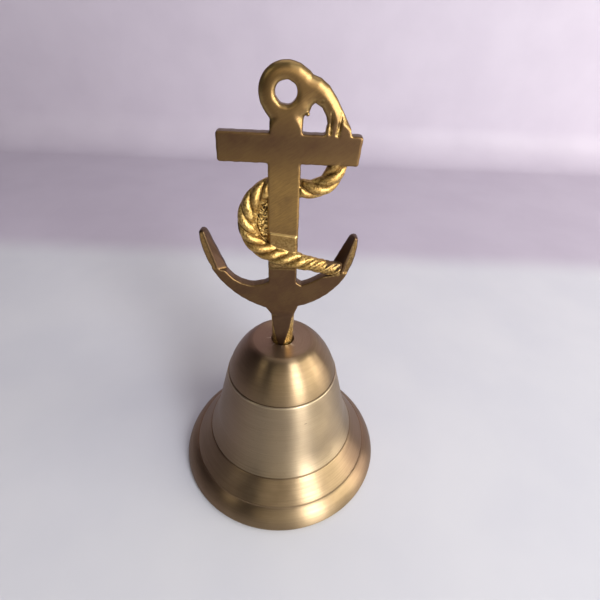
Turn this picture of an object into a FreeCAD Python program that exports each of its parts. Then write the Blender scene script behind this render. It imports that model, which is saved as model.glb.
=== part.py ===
# Brass hand bell with a cast fouled-anchor handle, 76 mm across the rim.
# Frame: millimetres, +Z up, origin at the centre of the rim's resting plane.  The anchor lies in
# the XZ plane and faces -Y.
import FreeCAD
import Part
import Sketcher
import math
import os

os.makedirs("parts", exist_ok=True)
doc = FreeCAD.newDocument("AnchorHandBell")
sheet = doc.addObject("Spreadsheet::Sheet", "Sizes")


# --- Driving dimensions -----------------------------------------------------------------------

class Size:
    """A length that carries both its value and the expression that drives it."""

    def __init__(self, value, text):
        self.value = value
        self.text = text

    def __add__(self, other):
        other = as_size(other)
        return Size(self.value + other.value, "(%s + %s)" % (self.text, other.text))

    def __sub__(self, other):
        other = as_size(other)
        return Size(self.value - other.value, "(%s - %s)" % (self.text, other.text))

    def __mul__(self, factor):
        return Size(self.value * factor, "(%s * %s)" % (self.text, factor))

    def __neg__(self):
        return self * -1


def as_size(number):
    if isinstance(number, Size):
        return number
    return Size(float(number), repr(float(number)))


used_rows = []


def size(alias, value, meaning):
    """Write one driving dimension into the sheet and return it."""
    row = len(used_rows) + 1
    used_rows.append(alias)
    sheet.set("A%d" % row, meaning)
    sheet.set("B%d" % row, str(value))
    sheet.setAlias("B%d" % row, alias)
    return Size(float(value), "Sizes." + alias)


# Bell, outside: radii and heights of the profile's corners.
crown_top = size("crown_top", 57.5, "height of the crown's flat top")
crown_edge_radius = size("crown_edge_radius", 10.1, "where the crown's flat ends")
crown_edge_drop = size("crown_edge_drop", 1.5, "height of the crown's rounded edge")
crown_edge_round = size("crown_edge_round", 5.1, "radius of the crown's rounded edge")
shoulder_start_radius = size("shoulder_start_radius", 12.5, "bell radius under the rounded edge")
shoulder_round = size("shoulder_round", 26.0, "radius of the domed shoulder in section")
shoulder_radius = size("shoulder_radius", 19.1, "bell radius at the bottom of the shoulder")
shoulder_height = size("shoulder_height", 44.2, "height of the line between shoulder and waist")
line_width = size("line_width", 0.5, "height of the turned line under the shoulder")
line_depth = size("line_depth", 0.35, "depth of the turned line under the shoulder")
flare_line_depth = size("flare_line_depth", 0.14, "depth of the line between waist and lip")
flare_line_low = size("flare_line_low", 0.3, "from the top of that line down to its deepest point")
flare_step = size("flare_step", 0.35, "how far the lip stands out from the flare")
lip_line_depth = size("lip_line_depth", 0.07, "depth of the fine line above the rim")
lip_line_low = size("lip_line_low", 0.2, "from the top of the fine line down to its deepest point")
lip_line_width = size("lip_line_width", 0.25, "height of the fine line above the rim")
lip_step = size("lip_step", 0.35, "how far the rim band stands out from the lip")
waist_step = size("waist_step", 0.45, "how far the waist stands out from the shoulder")
waist_end_radius = size("waist_end_radius", 24.1, "bell radius where the straight waist ends")
waist_end_height = size("waist_end_height", 24.5, "height where the straight waist ends")
flare_round = size("flare_round", 30.0, "radius of the flare in section")
flare_radius = size("flare_radius", 27.4, "bell radius at the bottom of the flare")
flare_height = size("flare_height", 16.1, "height of the line between waist and lip")
lip_radius = size("lip_radius", 33.2, "bell radius at the bottom of the lip's cone")
lip_height = size("lip_height", 8.0, "height of the fine line above the rim")
rim_radius = size("rim_radius", 38.0, "largest radius of the bell")
rim_height = size("rim_height", 1.6, "height of the rim's widest point")
rim_round = size("rim_round", 11.0, "radius of the rounded rim band in section")
rim_edge_round = size("rim_edge_round", 1.7, "radius of the rim's lower edge in section")
foot_outer_radius = size("foot_outer_radius", 36.8, "outer radius of the resting face")
foot_inner_radius = size("foot_inner_radius", 34.9, "inner radius of the resting face")

# Bell, inside.
wall = size("wall", 2.4, "wall thickness of the waist, measured level")
lip_wall = size("lip_wall", 3.0, "wall thickness of the lip, measured level")
foot_chamfer = size("foot_chamfer", 0.6, "chamfer inside the resting face")
flare_inner_drop = size("flare_inner_drop", 1.2, "how much lower the flare ends inside than outside")
crown_wall = size("crown_wall", 4.0, "thickness of the crown")
crown_inner_radius = size("crown_inner_radius", 8.0, "flat inside the crown")
crown_inner_round = size("crown_inner_round", 13.5, "radius inside the shoulder in section")
seat_radius = size("seat_radius", 3.85, "radius of the handle's seat in the crown")
seat_depth = size("seat_depth", 1.2, "depth of the handle's seat")
bolt_hole_radius = size("bolt_hole_radius", 1.7, "radius of the bolt's hole in the crown")

# Anchor.
plate = size("plate", 3.4, "thickness of the anchor")
ring_x = size("ring_x", -0.2, "centre of the ring, left to right")
ring_height = size("ring_height", 134.6, "height of the ring's centre")
ring_radius = size("ring_radius", 6.7, "outer radius of the ring")
ring_bore = size("ring_bore", 2.7, "radius of the hole in the ring")
stock_left = size("stock_left", -17.7, "left end of the stock")
stock_right = size("stock_right", 19.1, "right end of the stock")
stock_bottom = size("stock_bottom", 117.9, "underside of the stock")
stock_top = size("stock_top", 125.5, "top of the stock")
shank_left = size("shank_left", -4.75, "left side of the shank")
shank_right = size("shank_right", 3.95, "right side of the shank")
tip_height = size("tip_height", 97.2, "height of the fluke tips")
tip_width = size("tip_width", 2.4, "width of a fluke at its tip")
left_tip = size("left_tip", -24.7, "outer edge of the left fluke's tip")
right_tip = size("right_tip", 21.3, "outer edge of the right fluke's tip")
tip_drop = size("tip_drop", 0.6, "how much lower the right fluke's outer edge ends than its tip")
left_palm_x = size("left_palm_x", -17.4, "inner corner between the left arm and its fluke, left to right")
left_palm_height = size("left_palm_height", 84.8, "height of that corner")
right_palm_x = size("right_palm_x", 13.9, "inner corner between the right arm and its fluke")
right_palm_height = size("right_palm_height", 86.2, "height of that corner")
left_arm_x = size("left_arm_x", -9.05, "where the left arm's upper edge straightens")
left_arm_height = size("left_arm_height", 80.0, "height of that point")
left_crotch_x = size("left_crotch_x", -6.15, "where the left arm's upper edge turns up to the shank")
left_crotch_height = size("left_crotch_height", 80.7, "height of that point")
right_crotch_x = size("right_crotch_x", 5.55, "where the right arm's upper edge turns up to the shank")
right_crotch_height = size("right_crotch_height", 80.6, "height of that point")
arms_top = size("arms_top", 82.0, "top of the arms, where they run into the shank")
left_crown_x = size("left_crown_x", -5.65, "where the left arm's outside meets the tang")
left_crown_height = size("left_crown_height", 71.4, "height of that point")
right_crown_x = size("right_crown_x", 4.75, "where the right arm's outside meets the tang")
right_crown_height = size("right_crown_height", 72.4, "height of that point")
left_arm_round = size("left_arm_round", 27.6, "radius of the left arm's outside")
right_arm_round = size("right_arm_round", 23.8, "radius of the right arm's outside")
left_inside_round = size("left_inside_round", 9.0, "radius between the left arm and its fluke")
right_inside_round = size("right_inside_round", 22.5, "radius between the right arm and its fluke")
tip_round = size("tip_round", 1.32, "radius of the fluke tips")
web_thickness = size("web_thickness", 2.2, "thickness of the cast web inside the rope's loop")
web_above = size("web_above", 7.0, "how far the web reaches above the loop's centre")
web_below = size("web_below", 5.0, "how far the web reaches below the loop's centre")
buried = size("buried", 1.0, "how far one piece of the casting runs on inside the next")
bow_outer_x = size("bow_outer_x", 16.0, "outer edge of the bow where it meets the stock")
bow_inner_x = size("bow_inner_x", 9.7, "inner edge of the bow where it meets the stock")
bow_top_x = size("bow_top_x", 3.0, "where the bow's outer edge leaves the ring, left to right")
bow_top = size("bow_top", 140.5, "height where the bow's outer edge leaves the ring")
bow_round = size("bow_round", 23.5, "radius of the bow's outer edge")
bow_gap_x = size("bow_gap_x", 5.5, "top of the gap under the bow, left to right")
bow_gap_top = size("bow_gap_top", 132.2, "height of the top of the gap under the bow")
bow_gap_width = size("bow_gap_width", 2.0, "width of the gap's flat top")
bow_gap_slope = size("bow_gap_slope", 0.1, "how much the gap's top falls to the right")
bow_gap_shoulder = size("bow_gap_shoulder", 2.9, "from the gap's top down to where its side is upright")
bow_straight = size("bow_straight", 1.5, "height above the stock where the bow's outer edge is straight")

# Tang and foot of the handle.
tang_top = size("tang_top", 68.0, "where the arms run into the tang")
tang_left = size("tang_left", -3.8, "left side of the tang")
tang_right = size("tang_right", 3.6, "right side of the tang")
foot_half_width = size("foot_half_width", 3.45, "half the foot's width along the anchor, at its end")
foot_half_depth = size("foot_half_depth", 3.4, "half the foot's depth across the anchor, at its end")
foot_rise = size("foot_rise", 13.5, "height of the foot, up to where its flats meet the plate's faces")
thread_depth = size("thread_depth", 9.0, "depth of the tapped hole in the foot")

# Rope, cast in one with the anchor.
rope_radius = size("rope_radius", 2.6, "radius of the rope")
rope_front = size("rope_front", -1.7, "how far the rope stands forward where it crosses the shank")
rope_back = size("rope_back", 1.3, "how far the rope lies back behind the shank and stock")
rope_side = size("rope_side", -0.3, "how far the rope stands forward at the loop's outer side")
rope_end_x = size("rope_end_x", 15.7, "where the rope ends at the right fluke, left to right")
rope_end_height = size("rope_end_height", 87.0, "height of the rope's end")
rope_stock_x = size("rope_stock_x", 13.4, "where the rope passes the stock, left to right")
rope_hook_drop = size("rope_hook_drop", 7.0, "from the stock's underside to the rope's hook")
rope_loop_x = size("rope_loop_x", 0.2, "centre of the rope's loop, left to right")
rope_loop_height = size("rope_loop_height", 101.3, "height of the loop's centre")
rope_loop_radius = size("rope_loop_radius", 10.8, "radius of the loop")

# Bolt, washers and nut that hold the handle, and the eye that carries the clapper.
thread_radius = size("thread_radius", 1.5, "M3 thread")
wire_radius = size("wire_radius", 1.3, "wire of the eye")
eye_radius = size("eye_radius", 3.9, "radius of the eye, to the middle of its wire")
eye_drop = size("eye_drop", 6.0, "from the nut down to the eye's centre")
washer_radius = size("washer_radius", 4.5, "large M3 washer")
washer_bore = size("washer_bore", 1.6, "hole of both washers")
washer_thickness = size("washer_thickness", 0.8, "thickness of each washer")
spring_washer_radius = size("spring_washer_radius", 3.1, "M3 spring washer")
spring_gap = size("spring_gap", 0.7, "width of the spring washer's slit")
nut_across_corners = size("nut_across_corners", 6.35, "M3 nut, corner to corner")
nut_thickness = size("nut_thickness", 2.4, "M3 nut")
nut_corner_turned = size("nut_corner_turned", 0.3, "how far the nut's corners are turned off at its ends")
nut_cone_flare = size("nut_cone_flare", 1.2, "how far the turning cone clears the corners at its wide end")
thread_play = size("thread_play", 0.03, "gap round the bolt's thread")
thread_below_nut = size("thread_below_nut", 0.6, "how far the bolt's thread shows below the nut")
bolt_end_gap = size("bolt_end_gap", 1.0, "from the bolt's end to the bottom of the tapped hole")
slit_start = size("slit_start", 0.1, "where the slit's cut starts, from the washer's middle")
overrun = size("overrun", 1.0, "how far a cut or a joined length runs past the face it meets")

# Clapper.
link_wire_radius = size("link_wire_radius", 1.0, "wire of the link and of the rod")
link_radius = size("link_radius", 4.2, "radius of the link, to the middle of its wire")
hang_gap = size("hang_gap", 0.1, "play between two wires that hang on each other")
loop_radius = size("loop_radius", 3.2, "radius of the rod's loop, to the middle of its wire")
ball_height = size("ball_height", 12.5, "height of the clapper ball's centre")
ball_radius = size("ball_radius", 7.5, "radius of the clapper ball")
ball_flat = size("ball_flat", 7.25, "from the ball's centre to its two small flats")
ball_bore = size("ball_bore", 1.05, "radius of the hole through the ball")
peen_radius = size("peen_radius", 1.7, "radius of the rod's peened end")
peen_end_radius = size("peen_end_radius", 1.19, "radius of the peened end at its bottom")
peen_height = size("peen_height", 1.1, "height of the rod's peened end")

LINK_OPENING_DEGREES = 355.0
HEXAGON_SIDES = 6
FOOT_TAPER_DEGREES = 2.5
LOOP_HALF_TURN_DEGREES = 25.0
LOOP_DEGREES = (130, 180, 230)
RUN_SHARE = 0.47
doc.recompute()


# --- Helpers -----------------------------------------------------------------------------------

def drive(owner, name, length):
    """Bind one property of an object to the sheet."""
    owner.setExpression(name, as_size(length).text)


def place(owner, x=0, y=0, z=0):
    """Bind an object's position to the sheet."""
    drive(owner, "Placement.Base.x", x)
    drive(owner, "Placement.Base.y", y)
    drive(owner, "Placement.Base.z", z)


def new_body(name):
    body = doc.addObject("PartDesign::Body", name)
    body.Label = name
    return body


def new_sketch(body, name, role, offset=None):
    """A sketch on one of its body's own origin planes, lifted off it by an optional offset."""
    sketch = body.newObject("Sketcher::SketchObject", name)
    origin_plane = [item for item in body.Origin.OriginFeatures if item.Role == role][0]
    sketch.AttachmentSupport = (origin_plane, [""])
    sketch.MapMode = "FlatFace"
    if offset is not None:
        drive(sketch, "AttachmentOffset.Base.z", offset)
    return sketch


def arc_between(start, end, radius):
    """The short arc from start to end; a positive radius keeps its centre on the left."""
    chord = end - start
    half = chord.Length / 2
    reach = math.sqrt(radius * radius - half * half)
    left = FreeCAD.Vector(-chord.y, chord.x, 0).normalize()
    centre = (start + end) * 0.5 + left * math.copysign(reach, radius)
    first, last = (start, end) if radius > 0 else (end, start)
    angles = [math.atan2(point.y - centre.y, point.x - centre.x) for point in (first, last)]
    circle = Part.Circle(centre, FreeCAD.Vector(0, 0, 1), abs(radius))
    return Part.ArcOfCircle(circle, angles[0], angles[1])


def outline(sketch, corners, bends=None):
    """Draw a closed outline whose corners and bends are all bound to the sheet.

    corners: (across, up) sizes.  bends: {i: (radius, side)} makes the edge that leaves corner i
    an arc of that radius, with its centre on the left (+1) or right (-1) of the way round.
    """
    bends = bends or {}
    corners = [(as_size(across), as_size(up)) for across, up in corners]
    points = [FreeCAD.Vector(across.value, up.value, 0) for across, up in corners]
    start_end = []
    for i, start in enumerate(points):
        end = points[(i + 1) % len(points)]
        if i in bends:
            radius, side = bends[i]
            edge = sketch.addGeometry(arc_between(start, end, side * radius.value), False)
            sketch_order = (1, 2) if side > 0 else (2, 1)
            bind(sketch, Sketcher.Constraint("Radius", edge, radius.value), radius)
        else:
            edge = sketch.addGeometry(Part.LineSegment(start, end), False)
            sketch_order = (1, 2)
        start_end.append((edge, sketch_order))
    for i, (across, up) in enumerate(corners):
        edge, (first, _) = start_end[i]
        before, (_, last) = start_end[i - 1]
        sketch.addConstraint(Sketcher.Constraint("Coincident", before, last, edge, first))
        bind(sketch, Sketcher.Constraint("DistanceX", edge, first, across.value), across)
        bind(sketch, Sketcher.Constraint("DistanceY", edge, first, up.value), up)


def bind(sketch, constraint, length):
    index = sketch.addConstraint(constraint)
    sketch.setExpression("Constraints[%d]" % index, length.text)


def circle_in(sketch, across, up, radius):
    """A circle bound to the sheet."""
    across, up = as_size(across), as_size(up)
    centre = FreeCAD.Vector(across.value, up.value, 0)
    edge = sketch.addGeometry(Part.Circle(centre, FreeCAD.Vector(0, 0, 1), radius.value), False)
    bind(sketch, Sketcher.Constraint("DistanceX", edge, 3, across.value), across)
    bind(sketch, Sketcher.Constraint("DistanceY", edge, 3, up.value), up)
    bind(sketch, Sketcher.Constraint("Radius", edge, radius.value), radius)


def revolve(body, sketch, name):
    turned = body.newObject("PartDesign::Revolution", name)
    turned.Profile = sketch
    turned.ReferenceAxis = (sketch, ["V_Axis"])
    turned.Angle = 360
    body.Tip = turned
    return turned


def pad(body, sketch, name, length, both_ways=False):
    feature = body.newObject("PartDesign::Pad", name)
    feature.Profile = sketch
    feature.Midplane = both_ways
    drive(feature, "Length", length)
    body.Tip = feature
    return feature


def pocket_through(body, sketch, name):
    """Cut right through the body both ways and make sure that something was cut."""
    doc.recompute()
    before = body.Shape.Volume
    feature = body.newObject("PartDesign::Pocket", name)
    feature.Profile = sketch
    feature.Type = "ThroughAll"
    feature.Midplane = True
    body.Tip = feature
    doc.recompute()
    if not body.Shape.Volume < before:
        raise RuntimeError(name + " cuts nothing")
    return feature


def primitive(kind, name, **sizes):
    item = doc.addObject("Part::" + kind, name)
    for key, length in sizes.items():
        drive(item, key, length)
    return item


def fuse(label, pieces):
    joined = doc.addObject("Part::MultiFuse", label)
    joined.Shapes = pieces
    joined.Refine = True
    joined.Label = label
    return joined


def facing_front(owner):
    """Turn a ring made about +Z so that it lies in the XZ plane."""
    owner.Placement.Rotation = FreeCAD.Rotation(FreeCAD.Vector(1, 0, 0), 90)


def facing_side(owner):
    """Turn a ring made about +Z so that it lies in the YZ plane."""
    owner.Placement.Rotation = FreeCAD.Rotation(FreeCAD.Vector(0, 1, 0), 90)


# --- Bell --------------------------------------------------------------------------------------

def make_bell_body():
    """The turned shell: domed shoulder, straight waist, flare, conical lip and rounded rim."""
    body = new_body("bell_body")
    profile = new_sketch(body, "bell_profile", "XZ_Plane")
    waist_radius = shoulder_radius + waist_step
    waist_height = shoulder_height - line_width
    corners = [
        (seat_radius, crown_top),
        (crown_edge_radius, crown_top),
        (shoulder_start_radius, crown_top - crown_edge_drop),
        (shoulder_radius, shoulder_height),
        (shoulder_radius - line_depth, shoulder_height - line_width * 0.5),
        (waist_radius, waist_height),
        (waist_end_radius, waist_end_height),
        (flare_radius, flare_height),
        (flare_radius - flare_line_depth, flare_height - flare_line_low),
        (flare_radius + flare_step, flare_height - line_width),
        (lip_radius, lip_height),
        (lip_radius - lip_line_depth, lip_height - lip_line_low),
        (lip_radius + lip_step, lip_height - lip_line_width),
        (rim_radius, rim_height),
        (foot_outer_radius, 0),
        (foot_inner_radius, 0),
        (foot_inner_radius - foot_chamfer, foot_chamfer),
        (lip_radius - lip_wall, lip_height - line_width),
        (flare_radius - wall, flare_height - flare_inner_drop),
        (waist_end_radius - wall, waist_end_height),
        (waist_radius - wall, waist_height),
        (crown_inner_radius, crown_top - crown_wall),
        (bolt_hole_radius, crown_top - crown_wall),
        (bolt_hole_radius, crown_top - seat_depth),
        (seat_radius, crown_top - seat_depth),
    ]
    bends = {
        1: (crown_edge_round, -1),
        2: (shoulder_round, -1),
        6: (flare_round, 1),
        12: (rim_round, -1),
        13: (rim_edge_round, -1),
        18: (flare_round, -1),
        20: (crown_inner_round, 1),
    }
    outline(profile, corners, bends)
    revolve(body, profile, "turned_shell")
    return body


# --- Anchor handle -----------------------------------------------------------------------------

def arms_outline(sketch):
    """Both arms with their flukes, and the tang below them."""
    corners = [
        (left_tip, tip_height),
        (left_crown_x, left_crown_height),
        (tang_left, tang_top),
        (tang_right, tang_top),
        (right_crown_x, right_crown_height),
        (right_tip, tip_height - tip_drop),
        (right_tip - tip_width, tip_height),
        (right_palm_x, right_palm_height),
        (right_crotch_x, right_crotch_height),
        (shank_right - buried, arms_top),
        (shank_left + buried, arms_top),
        (left_crotch_x, left_crotch_height),
        (left_arm_x, left_arm_height),
        (left_palm_x, left_palm_height),
        (left_tip + tip_width, tip_height),
    ]
    bends = {
        0: (left_arm_round, 1),
        4: (right_arm_round, 1),
        5: (tip_round, 1),
        7: (right_inside_round, -1),
        12: (left_inside_round, -1),
        14: (tip_round, 1),
    }
    outline(sketch, corners, bends)


def box_outline(sketch, left, right, bottom, top):
    outline(sketch, [(left, bottom), (right, bottom), (right, top), (left, top)])


def bow_outline(sketch):
    """The flat run of rope between the ring and the stock, with the gap beside the neck open."""
    corners = [
        (bow_outer_x, stock_top + bow_straight),
        (bow_top_x, bow_top),
        (ring_x, ring_height + ring_bore + buried),
        (bow_gap_x, bow_gap_top),
        (bow_gap_x + bow_gap_width, bow_gap_top - bow_gap_slope),
        (bow_inner_x, bow_gap_top - bow_gap_shoulder),
        (bow_inner_x, stock_top - buried),
        (bow_outer_x, stock_top - buried),
    ]
    outline(sketch, corners, {0: (bow_round, 1)})


def rope_path(name, route):
    """Straight runs joined by tangent arcs, each as large as its two runs allow."""
    points = [FreeCAD.Vector(*[as_size(value).value for value in point]) for point in route]
    edges = []
    here = points[0]
    for i in range(1, len(points) - 1):
        corner = points[i]
        back = points[i - 1] - corner
        ahead = points[i + 1] - corner
        setback = RUN_SHARE * min(back.Length, ahead.Length)
        back.normalize()
        ahead.normalize()
        half_turn = (math.pi - back.getAngle(ahead)) / 2
        radius = setback / math.tan(half_turn)
        inward = (back + ahead).normalize() * (radius / math.cos(half_turn) - radius)
        arc_start = corner + back * setback
        arc_end = corner + ahead * setback
        edges.append(Part.LineSegment(here, arc_start).toShape())
        edges.append(Part.Arc(arc_start, corner + inward, arc_end).toShape())
        here = arc_end
    edges.append(Part.LineSegment(here, points[-1]).toShape())
    path = doc.addObject("Part::Feature", name)
    path.Shape = Part.Wire(edges)
    return path


def rope_along(path, name):
    """A round rope swept along a path, starting square to its first run."""
    first = path.Shape.Edges[0]
    section = primitive("Circle", name + "_section", Radius=rope_radius)
    start = first.valueAt(first.FirstParameter)
    direction = first.tangentAt(first.FirstParameter)
    turn = FreeCAD.Rotation(FreeCAD.Vector(0, 0, 1), direction)
    section.Placement = FreeCAD.Placement(start, turn)
    rope = doc.addObject("Part::Sweep", name)
    rope.Sections = [section]
    rope.Spine = (path, ["Edge%d" % (i + 1) for i in range(len(path.Shape.Edges))])
    rope.Solid = True
    rope.Frenet = False
    return rope


def on_circle(centre_x, centre_height, radius, degrees):
    """A point at that angle on a circle in the anchor's plane, counted from +X towards +Z."""
    across = centre_x.value + radius * math.cos(math.radians(degrees))
    up = centre_height.value + radius * math.sin(math.radians(degrees))
    return across, up


def make_rope():
    """The rope: down behind the stock, once round the shank, and out to the right fluke."""
    loop_reach = rope_loop_radius.value / math.cos(math.radians(LOOP_HALF_TURN_DEGREES))
    loop_depths = (rope_back.value, rope_side.value, rope_front.value)
    loop = []
    for degrees, depth in zip(LOOP_DEGREES, loop_depths):
        across, up = on_circle(rope_loop_x, rope_loop_height, loop_reach, degrees)
        loop.append((across, depth, up))
    route = [
        (rope_stock_x, rope_back, stock_top + buried),
        (rope_stock_x, rope_back, stock_bottom - rope_hook_drop),
        loop[0],
        loop[1],
        loop[2],
        (rope_end_x, rope_front, rope_end_height),
    ]
    return rope_along(rope_path("rope_path", route), "rope")


def make_foot():
    """The foot: a tapered round peg whose two flats lean in until they meet the plate's faces."""
    peg = new_body("foot_peg")
    section = new_sketch(peg, "foot_outline", "XY_Plane", crown_top - seat_depth)
    ellipse = Part.Ellipse(FreeCAD.Vector(0, 0, 0), foot_half_width.value, foot_half_depth.value)
    edge = section.addGeometry(ellipse, False)
    section.exposeInternalGeometry(edge)
    major, minor = edge + 1, edge + 2
    section.addConstraint(Sketcher.Constraint("Coincident", edge, 3, -1, 1))
    section.addConstraint(Sketcher.Constraint("Horizontal", major))
    long_axis = Sketcher.Constraint("DistanceX", major, 2, major, 1, foot_half_width.value * 2)
    bind(section, long_axis, foot_half_width * 2)
    short_axis = Sketcher.Constraint("DistanceY", minor, 2, minor, 1, foot_half_depth.value * 2)
    bind(section, short_axis, foot_half_depth * 2)
    peg_pad = pad(peg, section, "tapered_peg", foot_rise)
    peg_pad.TaperAngle = -FOOT_TAPER_DEGREES

    flats = new_body("foot_flats")
    side = new_sketch(flats, "foot_side", "YZ_Plane")
    foot_end = crown_top - seat_depth
    half_plate = plate * 0.5
    corners = [
        (-foot_half_depth, foot_end),
        (foot_half_depth, foot_end),
        (half_plate, foot_end + foot_rise),
        (-half_plate, foot_end + foot_rise),
    ]
    outline(side, corners)
    pad(flats, side, "foot_width", foot_half_width * 4, both_ways=True)

    foot = doc.addObject("Part::MultiCommon", "foot")
    foot.Shapes = [peg, flats]
    return foot


def make_anchor_handle():
    """The cast anchor: ring, stock, shank, arms, tang and foot, with the rope in one piece."""
    body = new_body("anchor_plate")

    shank = new_sketch(body, "shank_outline", "XZ_Plane")
    box_outline(shank, shank_left, shank_right, arms_top - buried * 4, ring_height - ring_bore - buried)
    pad(body, shank, "shank", plate, both_ways=True)

    stock = new_sketch(body, "stock_outline", "XZ_Plane")
    box_outline(stock, stock_left, stock_right, stock_bottom, stock_top)
    pad(body, stock, "stock", plate, both_ways=True)

    ring = new_sketch(body, "ring_outline", "XZ_Plane")
    circle_in(ring, ring_x, ring_height, ring_radius)
    pad(body, ring, "ring", plate, both_ways=True)

    bow = new_sketch(body, "bow_outline", "XZ_Plane")
    bow_outline(bow)
    pad(body, bow, "bow", plate, both_ways=True)

    arms = new_sketch(body, "arms_and_tang_outline", "XZ_Plane")
    arms_outline(arms)
    pad(body, arms, "arms_and_tang", plate, both_ways=True)

    web = new_sketch(body, "web_outline", "XZ_Plane")
    web_left = rope_loop_x - rope_loop_radius + buried
    web_bottom = rope_loop_height - web_below
    box_outline(web, web_left, shank_left + buried, web_bottom, rope_loop_height + web_above)
    pad(body, web, "web", web_thickness, both_ways=True)

    solid_handle = fuse("solid_handle", [body, make_foot(), make_rope()])

    bore = primitive("Cylinder", "ring_hole", Radius=ring_bore, Height=plate * 3)
    facing_front(bore)
    place(bore, ring_x, plate * 1.5, ring_height)
    thread = primitive("Cylinder", "tapped_hole", Radius=thread_radius, Height=thread_depth + overrun)
    place(thread, 0, 0, crown_top - seat_depth - overrun)
    holes = doc.addObject("Part::MultiFuse", "handle_holes")
    holes.Shapes = [bore, thread]
    handle = doc.addObject("Part::Cut", "anchor_handle")
    handle.Base = solid_handle
    handle.Tool = holes
    handle.Label = "anchor_handle"
    return handle


# --- Fixings inside the crown ------------------------------------------------------------------

crown_inside = crown_top - crown_wall
washer_bottom = crown_inside - washer_thickness
spring_bottom = washer_bottom - washer_thickness
nut_bottom = spring_bottom - nut_thickness
eye_centre = nut_bottom - eye_drop
eye_pivot = eye_centre - eye_radius
link_centre = eye_pivot + wire_radius + link_wire_radius + hang_gap - link_radius
link_pivot = link_centre - link_radius
loop_centre = link_pivot + link_wire_radius * 2 + hang_gap - loop_radius


def make_eye_bolt():
    """A length of wire bent into an eye, threaded at its top, where it screws into the handle."""
    eye = primitive("Torus", "eye_ring", Radius1=eye_radius, Radius2=wire_radius)
    facing_front(eye)
    place(eye, 0, 0, eye_centre)
    neck_bottom = eye_centre + eye_radius
    neck = primitive("Cylinder", "eye_neck", Radius=wire_radius, Height=nut_bottom - neck_bottom + overrun)
    place(neck, 0, 0, neck_bottom)
    thread_top = crown_top - seat_depth + thread_depth - bolt_end_gap
    thread_bottom = nut_bottom - thread_below_nut
    thread = primitive("Cylinder", "bolt_thread", Radius=thread_radius - thread_play,
                       Height=thread_top - thread_bottom)
    place(thread, 0, 0, thread_bottom)
    return fuse("eye_bolt", [eye, neck, thread])


def make_crown_washer():
    """The plain washer that spreads the nut's load inside the crown."""
    body = new_body("crown_washer")
    sketch = new_sketch(body, "washer_outline", "XY_Plane", washer_bottom)
    circle_in(sketch, 0, 0, washer_radius)
    circle_in(sketch, 0, 0, washer_bore)
    pad(body, sketch, "washer", washer_thickness)
    return body


def make_spring_washer():
    """The split spring washer, pressed flat under the nut."""
    body = new_body("spring_washer")
    sketch = new_sketch(body, "spring_outline", "XY_Plane", spring_bottom)
    circle_in(sketch, 0, 0, spring_washer_radius)
    circle_in(sketch, 0, 0, washer_bore)
    pad(body, sketch, "spring", washer_thickness)
    slit = new_sketch(body, "slit_outline", "XY_Plane", spring_bottom)
    box_outline(slit, slit_start, spring_washer_radius + overrun, spring_gap * -0.5, spring_gap * 0.5)
    pocket_through(body, slit, "slit")
    return body


def make_clamp_nut():
    """A hexagon nut with its corners turned off at both ends."""
    hexagon = doc.addObject("Part::Prism", "nut_hexagon")
    hexagon.Polygon = HEXAGON_SIDES
    drive(hexagon, "Circumradius", nut_across_corners * 0.5)
    drive(hexagon, "Height", nut_thickness)
    place(hexagon, 0, 0, nut_bottom)
    turned = []
    wide = nut_across_corners * 0.5 + nut_cone_flare
    narrow = nut_across_corners * 0.5 - nut_corner_turned
    for name, lower, upper in (("nut_lower_cone", narrow, wide), ("nut_upper_cone", wide, narrow)):
        cone = primitive("Cone", name, Radius1=lower, Radius2=upper, Height=nut_thickness)
        place(cone, 0, 0, nut_bottom)
        turned.append(cone)
    chamfered = doc.addObject("Part::MultiCommon", "nut_chamfered")
    chamfered.Shapes = [hexagon] + turned
    hole = primitive("Cylinder", "nut_hole", Radius=thread_radius, Height=nut_thickness + overrun * 2)
    place(hole, 0, 0, nut_bottom - overrun)
    nut = doc.addObject("Part::Cut", "clamp_nut")
    nut.Base = chamfered
    nut.Tool = hole
    nut.Label = "clamp_nut"
    return nut


# --- Clapper -----------------------------------------------------------------------------------

def make_clapper_link():
    """The wire link between the eye and the rod, with its butt joint left a little open."""
    link = primitive("Torus", "clapper_link", Radius1=link_radius, Radius2=link_wire_radius)
    link.Angle3 = LINK_OPENING_DEGREES
    facing_side(link)
    place(link, 0, 0, link_centre)
    link.Label = "clapper_link"
    return link


def make_clapper_rod():
    """The rod: a loop at the top, a straight stem through the ball and a peened end under it."""
    loop = primitive("Torus", "rod_loop", Radius1=loop_radius, Radius2=link_wire_radius)
    facing_front(loop)
    place(loop, 0, 0, loop_centre)
    peen_bottom = ball_height - ball_flat - peen_height
    stem_top = loop_centre - loop_radius
    stem = primitive("Cylinder", "rod_stem", Radius=link_wire_radius, Height=stem_top - peen_bottom)
    place(stem, 0, 0, peen_bottom)
    peen = primitive("Cone", "rod_peen", Radius1=peen_end_radius, Radius2=peen_radius,
                     Height=peen_height)
    place(peen, 0, 0, peen_bottom)
    return fuse("clapper_rod", [loop, stem, peen])


def make_clapper_ball():
    """The drilled ball, with a small flat at each end of its hole."""
    body = new_body("clapper_ball")
    flat_radius = Size(math.sqrt(ball_radius.value ** 2 - ball_flat.value ** 2),
                       "sqrt(Sizes.ball_radius ^ 2 - Sizes.ball_flat ^ 2)")
    profile = new_sketch(body, "ball_profile", "XZ_Plane")
    corners = [
        (ball_bore, ball_height + ball_flat),
        (flat_radius, ball_height + ball_flat),
        (ball_radius, ball_height),
        (flat_radius, ball_height - ball_flat),
        (ball_bore, ball_height - ball_flat),
    ]
    outline(profile, corners, {1: (ball_radius, -1), 2: (ball_radius, -1)})
    revolve(body, profile, "ball")
    return body


# --- Build, check and export -------------------------------------------------------------------

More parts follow.
